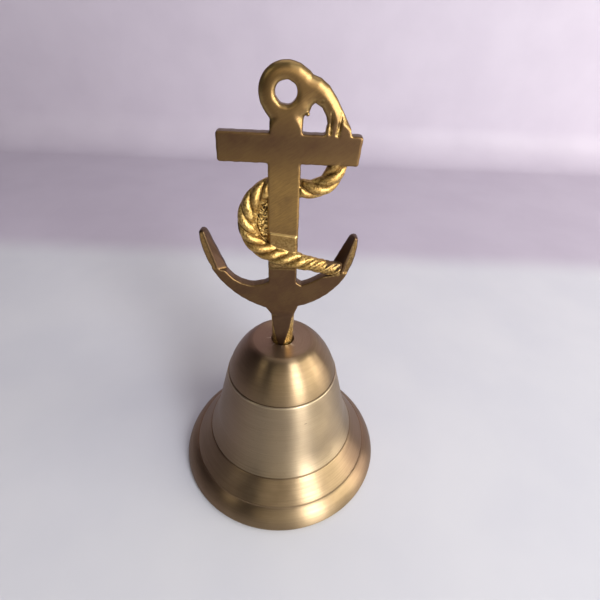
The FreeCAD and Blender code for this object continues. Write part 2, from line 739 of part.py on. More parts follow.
nodes = [
    make_bell_body(),
    make_anchor_handle(),
    make_eye_bolt(),
    make_crown_washer(),
    make_spring_washer(),
    make_clamp_nut(),
    make_clapper_link(),
    make_clapper_rod(),
    make_clapper_ball(),
]
doc.recompute()

for item in doc.Objects:
    if "Invalid" in item.State or "Error" in item.State:
        raise RuntimeError("%s failed: %s" % (item.Name, item.State))
for node in nodes:
    if node.Shape.isNull() or not node.Shape.isValid():
        raise RuntimeError(node.Label + " has no valid shape")
    if len(node.Shape.Solids) != 1:
        raise RuntimeError("%s has %d solids" % (node.Label, len(node.Shape.Solids)))

for node in nodes:
    node.Shape.exportStep("parts/%s.step" % node.Label)
    box = node.Shape.optimalBoundingBox()
    print("%-14s %9.1f mm3  x %.2f..%.2f  y %.2f..%.2f  z %.2f..%.2f" % (
        node.Label, node.Shape.Volume, box.XMin, box.XMax, box.YMin, box.YMax, box.ZMin, box.ZMax))
print("eye pivot %.3f  link pivot %.3f" % (eye_pivot.value, link_pivot.value))
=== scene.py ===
import math

import bpy
import numpy as np
from mathutils import Matrix, Vector


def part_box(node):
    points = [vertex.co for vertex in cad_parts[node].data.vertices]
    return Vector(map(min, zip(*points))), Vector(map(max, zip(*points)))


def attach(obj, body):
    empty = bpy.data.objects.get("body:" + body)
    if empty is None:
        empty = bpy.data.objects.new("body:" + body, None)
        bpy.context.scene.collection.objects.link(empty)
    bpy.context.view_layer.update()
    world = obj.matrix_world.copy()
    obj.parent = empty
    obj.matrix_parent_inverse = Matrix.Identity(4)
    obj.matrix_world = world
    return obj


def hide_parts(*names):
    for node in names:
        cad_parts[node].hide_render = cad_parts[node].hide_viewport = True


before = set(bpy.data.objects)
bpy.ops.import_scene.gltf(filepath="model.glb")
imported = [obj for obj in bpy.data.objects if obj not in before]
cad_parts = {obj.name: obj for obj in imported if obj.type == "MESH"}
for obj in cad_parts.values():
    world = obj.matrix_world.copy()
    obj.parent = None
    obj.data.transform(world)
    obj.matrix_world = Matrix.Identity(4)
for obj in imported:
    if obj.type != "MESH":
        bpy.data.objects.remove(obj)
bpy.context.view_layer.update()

MM = 0.001
SENSOR_WIDTH = 36.0


# --- Sizes read from the frame, in millimetres ---

def box_mm(node):
    low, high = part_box(node)
    return Vector(low) / MM, Vector(high) / MM


_, bell_high = box_mm("bell_body")
handle_low, handle_high = box_mm("anchor_handle")
RIM_RADIUS = min(bell_high.x, bell_high.y)
CROWN_TOP = bell_high.z
HANDLE_TOP = handle_high.z
HANDLE_FOOT = handle_low.z


# --- Small vector maths ---

def smooth_min(a, b, blend):
    """The lesser of two distances, with a fillet of about that size where they meet."""
    mix = np.clip(0.5 + 0.5 * (b - a) / blend, 0.0, 1.0)
    return b * (1.0 - mix) + a * mix - blend * mix * (1.0 - mix)


def smooth_max(a, b, blend):
    return -smooth_min(-a, -b, blend)


def smooth_step(low, high, value):
    share = np.clip((value - low) / (high - low), 0.0, 1.0)
    return share * share * (3.0 - 2.0 * share)


def arc_points(start, end, radius, step):
    """Points after start, up to and including end, on the short arc between them.

    A positive radius keeps the arc's centre on the left of the way from start to end.
    """
    start, end = np.array(start, float), np.array(end, float)
    chord = end - start
    half = np.hypot(*chord) / 2
    left = np.array((-chord[1], chord[0])) / (2 * half)
    centre = (start + end) / 2 + left * math.copysign(math.sqrt(radius * radius - half * half), radius)
    first = math.atan2(*(start - centre)[::-1])
    sweep = 2 * math.asin(half / abs(radius)) * math.copysign(1, radius)
    count = max(2, int(math.ceil(abs(sweep * radius) / step)))
    angles = first + sweep * np.arange(1, count + 1) / count
    return centre + abs(radius) * np.stack([np.cos(angles), np.sin(angles)], 1)


def trace(corners, bends, step):
    """A closed outline as an array of points, with the edges named in bends drawn as arcs."""
    points = []
    for i, corner in enumerate(corners):
        following = corners[(i + 1) % len(corners)]
        if i in bends:
            points.extend(arc_points(corner, following, bends[i], step))
        else:
            points.append(following)
    return np.array(points, float)


def outline_distance(across, up, points):
    """Signed distance to a closed outline, negative inside."""
    nearest = np.full(np.broadcast(across, up).shape, 1e9)
    inside = np.zeros(nearest.shape, bool)
    for (x0, z0), (x1, z1) in zip(points, np.roll(points, -1, axis=0)):
        dx, dz = x1 - x0, z1 - z0
        share = np.clip(((across - x0) * dx + (up - z0) * dz) / (dx * dx + dz * dz), 0.0, 1.0)
        gap = (across - x0 - share * dx) ** 2 + (up - z0 - share * dz) ** 2
        nearest = np.minimum(nearest, gap)
        if dz != 0:
            crosses = ((z0 > up) != (z1 > up)) & (across < (up - z0) * dx / dz + x0)
            inside = inside ^ crosses
    return np.where(inside, -1.0, 1.0) * np.sqrt(nearest)


def box_distance(across, up, left, right, bottom, top, corner):
    """Signed distance to a rectangle with rounded corners."""
    dx = np.abs(across - (left + right) / 2) - (right - left) / 2 + corner
    dz = np.abs(up - (bottom + top) / 2) - (top - bottom) / 2 + corner
    outside = np.hypot(np.maximum(dx, 0), np.maximum(dz, 0))
    return outside + np.minimum(np.maximum(dx, dz), 0) - corner


def thicken(flat, depth, half, edge):
    """Signed distance to a plate: a flat outline given thickness, with rounded edges."""
    beside = flat + edge
    above = np.abs(depth) - half + edge
    outside = np.hypot(np.maximum(beside, 0), np.maximum(above, 0))
    return outside + np.minimum(np.maximum(beside, above), 0) - edge


class Grain:
    """Smooth random bumps from a fixed lattice, the same on every run."""

    SIDE = 64

    def __init__(self, seed):
        self.lattice = np.random.default_rng(seed).uniform(-1.0, 1.0, (self.SIDE,) * 3)

    def at(self, points, size):
        cell = points / size
        base = np.floor(cell).astype(int)
        share = cell - base
        share = share * share * (3 - 2 * share)
        total = 0.0
        for i in (0, 1):
            for j in (0, 1):
                for k in (0, 1):
                    weight = (np.abs(1 - i - share[:, 0]) * np.abs(1 - j - share[:, 1])
                              * np.abs(1 - k - share[:, 2]))
                    corner = (base + (i, j, k)) % self.SIDE
                    total = total + weight * self.lattice[corner[:, 0], corner[:, 1], corner[:, 2]]
        return total


# --- Camera, floor and light ---

def make_camera():
    """A close, wide view from in front, a little above the ring and looking down."""
    place = Vector((3.74, -108.41, 152.71)) * MM
    pitch, yaw, roll = math.radians(36.0), math.radians(0.845), math.radians(-2.717)
    ahead = Vector((math.sin(yaw) * math.cos(pitch), math.cos(yaw) * math.cos(pitch), -math.sin(pitch)))
    level_right = Vector((math.cos(yaw), -math.sin(yaw), 0))
    level_down = ahead.cross(level_right)
    right = math.cos(roll) * level_right + math.sin(roll) * level_down
    down = -math.sin(roll) * level_right + math.cos(roll) * level_down
    data = bpy.data.cameras.new("camera")
    data.lens = 24.96
    data.sensor_width = SENSOR_WIDTH
    data.clip_start = 0.005
    camera = bpy.data.objects.new("camera", data)
    camera.matrix_world = Matrix((
        (right.x, -down.x, -ahead.x, place.x),
        (right.y, -down.y, -ahead.y, place.y),
        (right.z, -down.z, -ahead.z, place.z),
        (0, 0, 0, 1),
    ))
    bpy.context.scene.collection.objects.link(camera)
    bpy.context.scene.camera = camera


# Name, place in metres, width and height in metres, power in watts and colour.  The window stands
# ahead and to the right of the bell, and is tall, so that it draws upright streaks.
LIGHTS = (
    ("window", (0.49, -0.68, 0.36), (0.30, 0.70), 10.0, (0.97, 0.98, 1.0)),
    ("side", (1.18, -0.42, 0.50), (0.90, 0.66), 12.6, (1.0, 0.96, 0.84)),
    ("front", (0.02, -0.98, 0.42), (0.80, 0.30), 1.5, (1.0, 0.93, 0.78)),
    ("low", (0.84, 0.02, 0.16), (0.46, 0.26), 2.3, (1.0, 0.95, 0.90)),
    ("top", (0.05, 0.10, 0.95), (0.8, 0.6), 2.1, (0.96, 0.93, 1.0)),
    ("left", (-0.55, -0.42, 0.52), (0.14, 0.30), 0.30, (1.0, 0.95, 0.75)),
)
LIT_POINT = (0, 0, 0.06)


def make_area_light(name, place, size, power, colour):
    data = bpy.data.lights.new(name, "AREA")
    data.shape = "RECTANGLE"
    data.size, data.size_y = size
    data.energy = power
    data.color = colour
    light = bpy.data.objects.new(name, data)
    light.location = place
    light.rotation_euler = (Vector(LIT_POINT) - Vector(place)).to_track_quat("-Z", "Y").to_euler()
    bpy.context.scene.collection.objects.link(light)


def make_lights():
    world = bpy.data.worlds.new("studio")
    bpy.context.scene.world = world
    world.use_nodes = True
    background = world.node_tree.nodes["Background"]
    background.inputs["Color"].default_value = (0.86, 0.77, 0.83, 1)
    background.inputs["Strength"].default_value = 0.046
    for light in LIGHTS:
        make_area_light(*light)


def make_stage(material):
    """A pale table top that runs back to a pale wall through a soft bend."""
    half_width, front, bend_start, bend, height = 0.9, -0.9, 0.36, 0.04, 1.0
    line = [(front, 0.0), (bend_start, 0.0)]
    for turn in range(1, 9):
        angle = math.radians(90 * turn / 8)
        line.append((bend_start + bend * math.sin(angle), bend - bend * math.cos(angle)))
    line.append((bend_start + bend, height))
    points = [(side * half_width, y, z) for y, z in line for side in (-1, 1)]
    faces = [(2 * i, 2 * i + 1, 2 * i + 3, 2 * i + 2) for i in range(len(line) - 1)]
    mesh = bpy.data.meshes.new("floor")
    mesh.from_pydata(points, [], faces)
    mesh.polygons.foreach_set("use_smooth", [True] * len(faces))
    floor = bpy.data.objects.new("floor", mesh)
    bpy.context.scene.collection.objects.link(floor)
    mesh.materials.append(material)


# --- Materials ---

class Shader:
    """A node material under construction."""

    def __init__(self, name):
        self.material = bpy.data.materials.new(name)
        self.material.use_nodes = True
        self.tree = self.material.node_tree
        self.shader = self.tree.nodes["Principled BSDF"]

    def node(self, kind, **settings):
        made = self.tree.nodes.new(kind)
        for key, value in settings.items():
            setattr(made, key, value)
        return made

    def link(self, out, into):
        self.tree.links.new(out, into)

    def set(self, **values):
        """Constants go straight onto the shader's own sockets."""
        for key, value in values.items():
            self.shader.inputs[key.replace("_", " ")].default_value = value

    def object_place(self, scale=1.0):
        """Object coordinates in millimetres, times scale."""
        place = self.node("ShaderNodeTexCoord").outputs["Object"]
        grown = self.node("ShaderNodeVectorMath", operation="SCALE")
        self.link(place, grown.inputs[0])
        grown.inputs["Scale"].default_value = scale / MM
        return grown.outputs["Vector"]

    def stretch(self, vector, scale, turn=(0, 0, 0)):
        """Turned first, then scaled, so that what is stretched lies along the turned axes."""
        mapping = self.node("ShaderNodeMapping", vector_type="TEXTURE")
        self.link(vector, mapping.inputs["Vector"])
        mapping.inputs["Scale"].default_value = [1 / factor for factor in scale]
        mapping.inputs["Rotation"].default_value = [math.radians(angle) for angle in turn]
        return mapping.outputs["Vector"]

    def far_from(self, vector, centre, scale):
        """Distance from a point, measured after each axis is scaled."""
        made = self.node("ShaderNodeVectorMath", operation="DISTANCE")
        self.link(self.stretch(vector, scale), made.inputs[0])
        made.inputs[1].default_value = [a * b for a, b in zip(centre, scale)]
        return made.outputs["Value"]

    def noise(self, vector, scale, detail=2.0, roughness=0.5):
        made = self.node("ShaderNodeTexNoise")
        self.link(vector, made.inputs["Vector"])
        made.inputs["Scale"].default_value = scale
        made.inputs["Detail"].default_value = detail
        made.inputs["Roughness"].default_value = roughness
        return made.outputs["Fac"]

    def maths(self, operation, first, second=None, third=None):
        made = self.node("ShaderNodeMath", operation=operation)
        for socket, value in zip(made.inputs, (first, second, third)):
            if value is None:
                continue
            if isinstance(value, (int, float)):
                socket.default_value = value
            else:
                self.link(value, socket)
        return made.outputs["Value"]

    def times(self, first, second):
        return self.maths("MULTIPLY", first, second)

    def plus(self, first, second):
        return self.maths("ADD", first, second)

    def axes(self, vector):
        apart = self.node("ShaderNodeSeparateXYZ")
        self.link(vector, apart.inputs["Vector"])
        return [apart.outputs[axis] for axis in "XYZ"]

    def remap(self, value, low, high, to_low=0.0, to_high=1.0):
        made = self.node("ShaderNodeMapRange", interpolation_type="SMOOTHSTEP")
        self.link(value, made.inputs["Value"])
        made.inputs["From Min"].default_value = low
        made.inputs["From Max"].default_value = high
        made.inputs["To Min"].default_value = to_low
        made.inputs["To Max"].default_value = to_high
        return made.outputs["Result"]

    def mix(self, share, first, second):
        """Mixes two colours, each a socket or a tuple."""
        made = self.node("ShaderNodeMix", data_type="RGBA")
        self.link(share, made.inputs["Factor"])
        sockets = [item for item in made.inputs if item.type == "RGBA"]
        for socket, colour in zip(sockets, (first, second)):
            if isinstance(colour, tuple):
                socket.default_value = colour
            else:
                self.link(colour, socket)
        return [item for item in made.outputs if item.type == "RGBA"][0]

    def attribute(self, name):
        return self.node("ShaderNodeAttribute", attribute_name=name).outputs["Fac"]

    def bump(self, layers):
        """Chains (height, millimetres) layers into one normal for the shader."""
        normal = None
        for height, distance in layers:
            made = self.node("ShaderNodeBump")
            self.link(height, made.inputs["Height"])
            made.inputs["Distance"].default_value = distance * MM
            made.inputs["Strength"].default_value = 1.0
            if normal is not None:
                self.link(normal, made.inputs["Normal"])
            normal = made.outputs["Normal"]
        self.link(normal, self.shader.inputs["Normal"])


def colour(red, green, blue):
    return (red, green, blue, 1.0)


# One small dark mark on the waist, wider than it is tall.
NICK = (8.93, -19.31, 36.41)
NICK_SCALE = (1.5, 1.5, 3.8)


def bell_brass():
    """Satin brass turned on a lathe: fine rings, soft patches, darker in its lines, with painted light and
    shade on its waist, shoulder, crown and sides.
    """
    s = Shader("turned_brass")
    s.set(Metallic=1.0, Anisotropic=0.78, Anisotropic_Rotation=0.25)
    place = s.object_place()
    across, depth, up = s.axes(place)
    angle = s.maths("ARCTAN2", depth, across)
    radius = s.maths("SQRT", s.plus(s.maths("POWER", across, 2.0), s.maths("POWER", depth, 2.0)))
    round_place = s.node("ShaderNodeCombineXYZ")
    s.link(s.times(s.maths("SINE", angle), 1.2), round_place.inputs["X"])
    s.link(s.times(s.maths("COSINE", angle), 1.2), round_place.inputs["Y"])
    s.link(s.plus(s.times(up, 9.0), s.times(radius, 9.0)), round_place.inputs["Z"])
    rings = s.noise(round_place.outputs["Vector"], 1.0, 4.0, 0.7)
    patches = s.noise(place, 0.07, 3.0, 0.55)
    specks = s.noise(place, 1.3, 2.0, 0.6)
    groove = s.attribute("groove")
    base = s.mix(s.remap(patches, 0.35, 0.65), colour(0.245, 0.174, 0.100), colour(0.31, 0.226, 0.130))
    # Painted light: the waist is painted paler and less yellow, standing in for the bright streaks of light
    # it catches.
    waist = s.times(s.remap(up, 15.9, 16.4), s.remap(up, 44.1, 43.6))
    base = s.mix(s.times(waist, 0.38), base, colour(0.46, 0.38, 0.265))
    # Painted shade: the shoulder and the crown above the first line are painted a little darker.
    base = s.mix(s.times(s.remap(up, 44.0, 44.4), 0.16), base, colour(0.17, 0.105, 0.05))
    # Painted reflection: the crown's flat is painted paler and pinker, standing in for the pale lilac wall it
    # reflects.
    crown = s.times(s.remap(radius, 11.6, 8.6), s.remap(up, 56.5, 57.3))
    base = s.mix(s.times(crown, 0.5), base, colour(0.45, 0.305, 0.20))
    # Painted shade and reflection: the colour is darker and redder towards the bell's left side, away from
    # the lights, and round the lip's right side.
    aside = s.maths("DIVIDE", across, radius)
    left = s.remap(aside, -0.20, -0.85, 0.0, 0.60)
    right = s.times(s.remap(aside, 0.66, 0.97, 0.0, 0.52), s.remap(up, 18.0, 13.0))
    base = s.mix(s.maths("MAXIMUM", left, right), base, colour(0.20, 0.112, 0.078))
    # Painted highlight: a bright band along the waist's top edge, just under the shoulder line.
    painted_highlight_band = s.times(s.remap(up, 43.15, 43.55), s.remap(up, 43.9, 43.7))
    base = s.mix(s.times(painted_highlight_band, 0.45), base, colour(0.74, 0.62, 0.42))
    base = s.mix(s.remap(rings, 0.3, 0.75, 0.0, 0.35), base, colour(0.165, 0.108, 0.060))
    base = s.mix(s.remap(specks, 0.62, 0.8, 0.0, 0.25), base, colour(0.14, 0.085, 0.05))
    base = s.mix(s.times(groove, 0.75), base, colour(0.075, 0.045, 0.026))
    base = s.mix(s.attribute("burr"), base, colour(0.78, 0.66, 0.46))
    nick = s.remap(s.far_from(place, NICK, NICK_SCALE), 1.1, 0.5, 0.0, 0.55)
    base = s.mix(nick, base, colour(0.07, 0.045, 0.03))
    inside = s.attribute("inside")
    tarnish = s.mix(s.remap(specks, 0.35, 0.65), colour(0.17, 0.105, 0.055), colour(0.25, 0.165, 0.085))
    base = s.mix(inside, base, tarnish)
    s.link(base, s.shader.inputs["Base Color"])
    rough = s.plus(s.remap(rings, 0.2, 0.8, 0.33, 0.43), s.remap(patches, 0.3, 0.7, -0.03, 0.04))
    rough = s.plus(rough, s.times(inside, 0.12))
    s.link(s.plus(rough, s.times(groove, 0.2)), s.shader.inputs["Roughness"])
    tangent = s.node("ShaderNodeTangent", direction_type="RADIAL", axis="Z")
    s.link(tangent.outputs["Tangent"], s.shader.inputs["Tangent"])
    s.bump([(rings, 0.010), (specks, 0.003)])
    return s.material


def anchor_brass():
    """Cast brass: linished brown-gold faces, bright worn edges with painted highlights, painted shade in
    crevices, sparkling raw casting.
    """
    s = Shader("cast_brass")
    s.set(Metallic=1.0)
    place = s.object_place()
    raw = s.attribute("raw")
    web = s.attribute("web")
    crevice_shade = s.attribute("crevice_shade")
    edge = s.attribute("edge")
    strokes = s.noise(s.stretch(place, (0.30, 1.0, 4.0), (0, -35, 0)), 1.3, 4.0, 0.65)
    patches = s.noise(place, 0.16, 3.0, 0.6)
    grains = s.noise(place, 1.6, 3.0, 0.6)
    pits = s.noise(place, 1.6, 2.0, 0.6)
    sand = s.node("ShaderNodeTexVoronoi")
    s.link(place, sand.inputs["Vector"])
    sand.inputs["Scale"].default_value = 1.9
    up = s.axes(place)[2]
    worn = s.times(s.remap(up, 88.0, 104.0), s.remap(up, 124.0, 110.0))
    worn = s.times(worn, s.remap(patches, 0.15, 0.5, 0.35, 1.0))
    worn = s.plus(worn, s.remap(up, 123.0, 132.0, 0.0, 0.55))
    sanded = s.mix(s.remap(patches, 0.3, 0.7), colour(0.108, 0.060, 0.031), colour(0.142, 0.084, 0.038))
    sanded = s.mix(worn, sanded, colour(0.29, 0.176, 0.058))
    sanded = s.mix(s.remap(strokes, 0.35, 0.75, 0.0, 0.5), sanded, colour(0.090, 0.045, 0.027))
    cast = s.mix(s.remap(grains, 0.35, 0.65), colour(0.27, 0.16, 0.046), colour(0.70, 0.49, 0.175))
    cast = s.mix(s.remap(patches, 0.42, 0.62, 0.0, 0.55), cast, colour(0.34, 0.185, 0.055))
    base = s.mix(raw, sanded, cast)
    # Bright worn edges, together with the painted highlights on the head's rounded band and the shank's step
    # line.
    base = s.mix(s.times(edge, 0.6), base, colour(0.62, 0.44, 0.18))
    base = s.mix(s.times(s.remap(pits, 0.56, 0.40), web), base, colour(0.03, 0.016, 0.006))
    # Painted shade: darker in crevices and between the rope's strands.
    base = s.mix(s.times(crevice_shade, 0.88), base, colour(0.085, 0.045, 0.015))
    base = s.mix(s.times(s.attribute("palm"), 0.82), base, colour(0.085, 0.050, 0.036))
    s.link(base, s.shader.inputs["Base Color"])
    rough = s.plus(s.remap(strokes, 0.2, 0.8, 0.30, 0.44),
                    s.times(s.remap(grains, 0.3, 0.7, -0.02, 0.14), raw))
    s.link(s.plus(rough, s.times(crevice_shade, 0.15)), s.shader.inputs["Roughness"])
    sand_height = s.times(sand.outputs["Distance"], raw)
    s.bump([(strokes, 0.012), (s.times(grains, raw), 0.07), (sand_height, 0.05),
            (s.times(pits, web), 0.5)])
    return s.material


def clapper_brass():
    s = Shader("dull_brass")
    s.set(Metallic=1.0)
    place = s.object_place()
    patches = s.noise(place, 0.35, 4.0, 0.6)
    scratches = s.noise(s.stretch(place, (0.6, 6.0, 2.0), (20, 10, 30)), 1.5, 3.0, 0.6)
    base = s.mix(s.remap(patches, 0.35, 0.68), colour(0.48, 0.35, 0.18), colour(0.33, 0.22, 0.11))
    s.link(base, s.shader.inputs["Base Color"])
    s.link(s.remap(scratches, 0.2, 0.8, 0.24, 0.46), s.shader.inputs["Roughness"])
    s.bump([(scratches, 0.006)])
    return s.material


def plated_steel():
    s = Shader("plated_steel")
    s.set(Metallic=1.0)
    place = s.object_place()
    patches = s.noise(place, 0.8, 4.0, 0.6)
    base = s.mix(s.remap(patches, 0.35, 0.7), colour(0.60, 0.58, 0.53), colour(0.42, 0.38, 0.32))
    s.link(base, s.shader.inputs["Base Color"])
    s.link(s.remap(patches, 0.3, 0.7, 0.28, 0.5), s.shader.inputs["Roughness"])
    s.bump([(patches, 0.01)])
    return s.material


def pale_floor():
    """White table top in front, pale lilac further back."""
    s = Shader("pale_floor")
    s.set(Roughness=0.55)
    place = s.object_place()
    depth = s.axes(place)[1]
    mottle = s.noise(place, 0.02, 3.0, 0.5)
    table = s.mix(s.remap(mottle, 0.3, 0.7), colour(0.545, 0.55, 0.595), colour(0.575, 0.578, 0.615))
    wall = s.mix(s.remap(mottle, 0.3, 0.7), colour(0.43, 0.385, 0.465), colour(0.455, 0.41, 0.49))
    s.link(s.mix(s.remap(depth, 140.0, 175.0), table, wall), s.shader.inputs["Base Color"])
    return s.material


# --- Meshes ---

def new_piece(name, points_mm, faces, body, node, material):
    """A mesh piece from points in millimetres and quads, riding on its body in place of a node."""
    points = np.asarray(points_mm, np.float64) * MM
    faces = np.asarray(faces, np.int32)
    mesh = bpy.data.meshes.new(name)
    mesh.vertices.add(len(points))
    mesh.vertices.foreach_set("co", points.astype(np.float32).ravel())
    mesh.loops.add(faces.size)
    mesh.loops.foreach_set("vertex_index", faces.ravel())
    mesh.polygons.add(len(faces))
    sides = faces.shape[1]
    mesh.polygons.foreach_set("loop_start", np.arange(0, faces.size, sides, dtype=np.int32))
    mesh.polygons.foreach_set("use_smooth", np.ones(len(faces), bool))
    mesh.update(calc_edges=True)
    mesh.validate()
    mesh.materials.append(material)
    piece = bpy.data.objects.new(name, mesh)
    bpy.context.scene.collection.objects.link(piece)
    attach(piece, body)
    if node:
        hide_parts(node)
    return piece


def store(piece, name, values):
    """Keeps one number per vertex, for the material."""
    layer = piece.data.attributes.new(name, "FLOAT", "POINT")
    layer.data.foreach_set("value", np.ascontiguousarray(values, np.float32))


def within(points, low, high):
    """Points held inside a box."""
    return np.clip(points, np.array(low), np.array(high))


def resample(points, step):
    """A closed line's points, spread evenly along it."""
    closed = np.vstack([points, points[:1]])
    along = np.concatenate([[0], np.cumsum(np.hypot(*np.diff(closed, axis=0).T))])
    count = int(along[-1] / step)
    places = np.linspace(0, along[-1], count, endpoint=False)
    return np.stack([np.interp(places, along, closed[:, i]) for i in (0, 1)], 1)


def soften(points, rounds):
    """Rounds a closed line's corners a little."""
    for _ in range(rounds):
        points = (np.roll(points, 1, axis=0) + 2 * points + np.roll(points, -1, axis=0)) / 4
    return points


def thin_out(points, sagitta, longest):
    """Drops points of a fine line where it is nearly straight."""
    kept = [0]
    i = 0
    while i < len(points) - 1:
        reach = i + 1
        while reach + 1 < len(points):
            chord = points[reach + 1] - points[i]
            length = np.hypot(*chord)
            between = points[i + 1:reach + 1] - points[i]
            bulge = np.abs(between[:, 0] * chord[1] - between[:, 1] * chord[0]).max() / length
            if bulge > sagitta or length > longest:
                break
            reach += 1
        kept.append(reach)
        i = reach
    return points[kept[:-1]] if kept[-1] == len(points) - 1 else points[kept]


# --- Bell ---

SEAT_RADIUS = 3.85
SEAT_DEPTH = 1.2
LINE = 0.5
LINE_DEPTH = 0.35
GROOVES = ((44.2, 19.1, 1.0), (16.1, 27.4, 0.75), (8.0, 33.2, 0.20))


def bell_profile():
    """The shell's section as (radius, height), round from the seat over the outside and back."""
    wall, lip_wall, crown_wall = 2.4, 3.0, 4.0
    waist_height = GROOVES[0][0] - LINE
    waist_radius = GROOVES[0][1] + 0.45
    flare_height, flare_radius = GROOVES[1][:2]
    lip_height, lip_radius = GROOVES[2][:2]
    corners = [
        (SEAT_RADIUS, CROWN_TOP),
        (10.1, CROWN_TOP),
        (12.5, CROWN_TOP - 1.5),
        (GROOVES[0][1], GROOVES[0][0]),
        (GROOVES[0][1] - LINE_DEPTH, GROOVES[0][0] - LINE * 0.5),
        (waist_radius, waist_height),
        (24.1, 24.5),
        (flare_radius, flare_height),
        (flare_radius - 0.16, flare_height - LINE * 0.6),
        (flare_radius + LINE_DEPTH, flare_height - LINE),
        (lip_radius, lip_height),
        (lip_radius - 0.09, lip_height - LINE * 0.4),
        (lip_radius + LINE_DEPTH, lip_height - LINE * 0.5),
        (RIM_RADIUS, 1.6),
        (36.8, 0.0),
        (34.9, 0.0),
        (34.3, 0.6),
        (lip_radius - lip_wall, lip_height - LINE),
        (flare_radius - wall, flare_height - wall * 0.5),
        (24.1 - wall, 24.5),
        (waist_radius - wall, waist_height),
        (8.0, CROWN_TOP - crown_wall),
        (1.7, CROWN_TOP - crown_wall),
        (1.7, CROWN_TOP - SEAT_DEPTH),
        (SEAT_RADIUS, CROWN_TOP - SEAT_DEPTH),
    ]
    bends = {1: -5.1, 2: -26.0, 6: 30.0, 12: -11.0, 13: -1.7, 18: -30.0, 20: 13.5}
    fine = soften(resample(trace(corners, bends, 0.1), 0.07), 6)
    return thin_out(fine, 0.003, 1.6)


def make_bell(material):
    profile = bell_profile()
    turns = 288
    angles = 2 * math.pi * np.arange(turns) / turns
    radius, height = profile[:, 0], profile[:, 1]
    # The seat's edge was opened by hand and kept its burr.
    at_seat = np.exp(-((radius - SEAT_RADIUS) ** 2 + (height - CROWN_TOP) ** 2) / 0.25)
    ragged = Grain(11)
    circle = np.stack([np.cos(angles), np.sin(angles), np.zeros(turns)], 1)
    wobble = ragged.at(circle * 5 + 20, 0.9) * 0.6 + ragged.at(circle * 5 + 40, 0.35) * 0.4
    ring_radius = radius[:, None] + at_seat[:, None] * (wobble * 0.30 + 0.05)[None]
    ring_height = height[:, None] + at_seat[:, None] * (wobble * 0.10 + 0.12)[None]
    points = np.stack([
        ring_radius * np.cos(angles),
        ring_radius * np.sin(angles),
        np.broadcast_to(ring_height, ring_radius.shape),
    ], -1).reshape(-1, 3)
    rows = len(profile)
    row = np.repeat(np.arange(rows), turns)
    turn = np.tile(np.arange(turns), rows)
    next_row = (row + 1) % rows
    next_turn = (turn + 1) % turns
    faces = np.stack([row * turns + turn, next_row * turns + turn,
                      next_row * turns + next_turn, row * turns + next_turn], 1)
    bell = new_piece("bell_shell", points, faces, "bell", "bell_body", material)
    groove = np.zeros(rows)
    for groove_height, groove_radius, weight in GROOVES:
        gap = np.hypot(height - (groove_height - LINE * 0.55), radius - groove_radius + 0.1)
        groove = np.maximum(groove, weight * np.exp(-(gap / 0.24) ** 2))
    groove = np.maximum(groove, 0.8 * np.exp(-((radius - SEAT_RADIUS) / 0.5) ** 2)
                        * (height < CROWN_TOP - 0.15) * (height > CROWN_TOP - 2))
    store(bell, "groove", np.repeat(groove, turns))
    inside = (np.arange(rows) > height.argmin() + 1) * (height < CROWN_TOP - 2)
    store(bell, "inside", np.repeat(inside, turns).astype(float))
    burr = at_seat[:, None] * smooth_step(0.05, 0.45, wobble)[None]
    store(bell, "burr", burr.reshape(-1))
    return bell


# --- Anchor: a distance field, then a mesh ---

HALF_PLATE = 1.7
EDGE_ROUND = 0.45
HEAD_EDGE_ROUND = 1.55
RING_CENTRE = (-0.2, 134.6)
RING_RADIUS = HANDLE_TOP - RING_CENTRE[1]
RING_BORE = 2.62
STOCK = (-17.7, 18.7, 117.9, 125.5)
SHANK = (-4.75, 3.95)
ROPE_RADIUS = 2.6
STRANDS = 3
STRAND_RELIEF = 0.95


def arms_outline():
    """Arms, flukes and tang, anticlockwise from the left fluke's tip."""
    corners = [
        (-24.7, 97.2), (-5.65, 71.4), (-4.0, 69.0), (-3.8, 68.0), (3.6, 68.0), (3.6, 69.0),
        (4.75, 72.4), (21.3, 96.6), (18.9, 97.2), (13.9, 86.2), (5.55, 80.6), (3.0, 82.0),
        (-3.8, 82.0), (-6.15, 80.7), (-9.05, 80.0), (-17.4, 84.8), (-22.3, 97.2),
    ]
    bends = {0: 27.6, 6: 23.8, 7: 1.3, 9: -22.5, 14: -9.0, 16: 1.3}
    return trace(corners, bends, 0.8)


ARMS = arms_outline()
# The head: neck, ring and the flattened run of rope that joins the ring to the stock.
HEAD = np.array([
    (0.5, 141.0), (3.0, 140.5), (5.3, 139.2), (6.0, 138.5), (8.0, 137.8), (10.0, 136.3),
    (12.0, 133.7), (13.5, 131.2), (15.0, 128.7), (16.0, 127.0), (16.4, 124.0), (9.6, 124.0),
    (9.7, 126.8), (10.0, 127.8), (9.6, 129.5), (8.5, 131.4), (6.8, 132.4), (5.9, 131.8),
    (5.5, 130.5), (4.2, 129.3), (4.1, 128.0), (4.0, 124.0), (-4.3, 124.0), (-4.3, 127.5),
    (-4.2, 128.5), (-5.2, 130.0), (-6.2, 132.0), (-5.0, 136.0), (-2.0, 140.0),
])
LEFT_RIDGE = ((-20.0, 85.7), (-23.2, 98.4))
LEFT_BACK = ((-16.0, 85.7), (-21.6, 96.6))
RIGHT_RIDGE = ((17.3, 85.5), (20.4, 98.6))
RIGHT_BACK = ((12.4, 86.2), (18.4, 96.6))
# Lines cut into the head's face between its strands: start, end, half width, depth.
CUTS = (
    ((13.4, 130.4), (12.7, 125.6), 0.34, 0.60),
    ((10.9, 130.6), (10.8, 125.8), 0.30, 0.35),
    ((5.2, 139.4), (7.0, 138.0), 0.30, 0.22),
    ((6.6, 132.6), (8.6, 133.2), 0.30, 0.20),
)


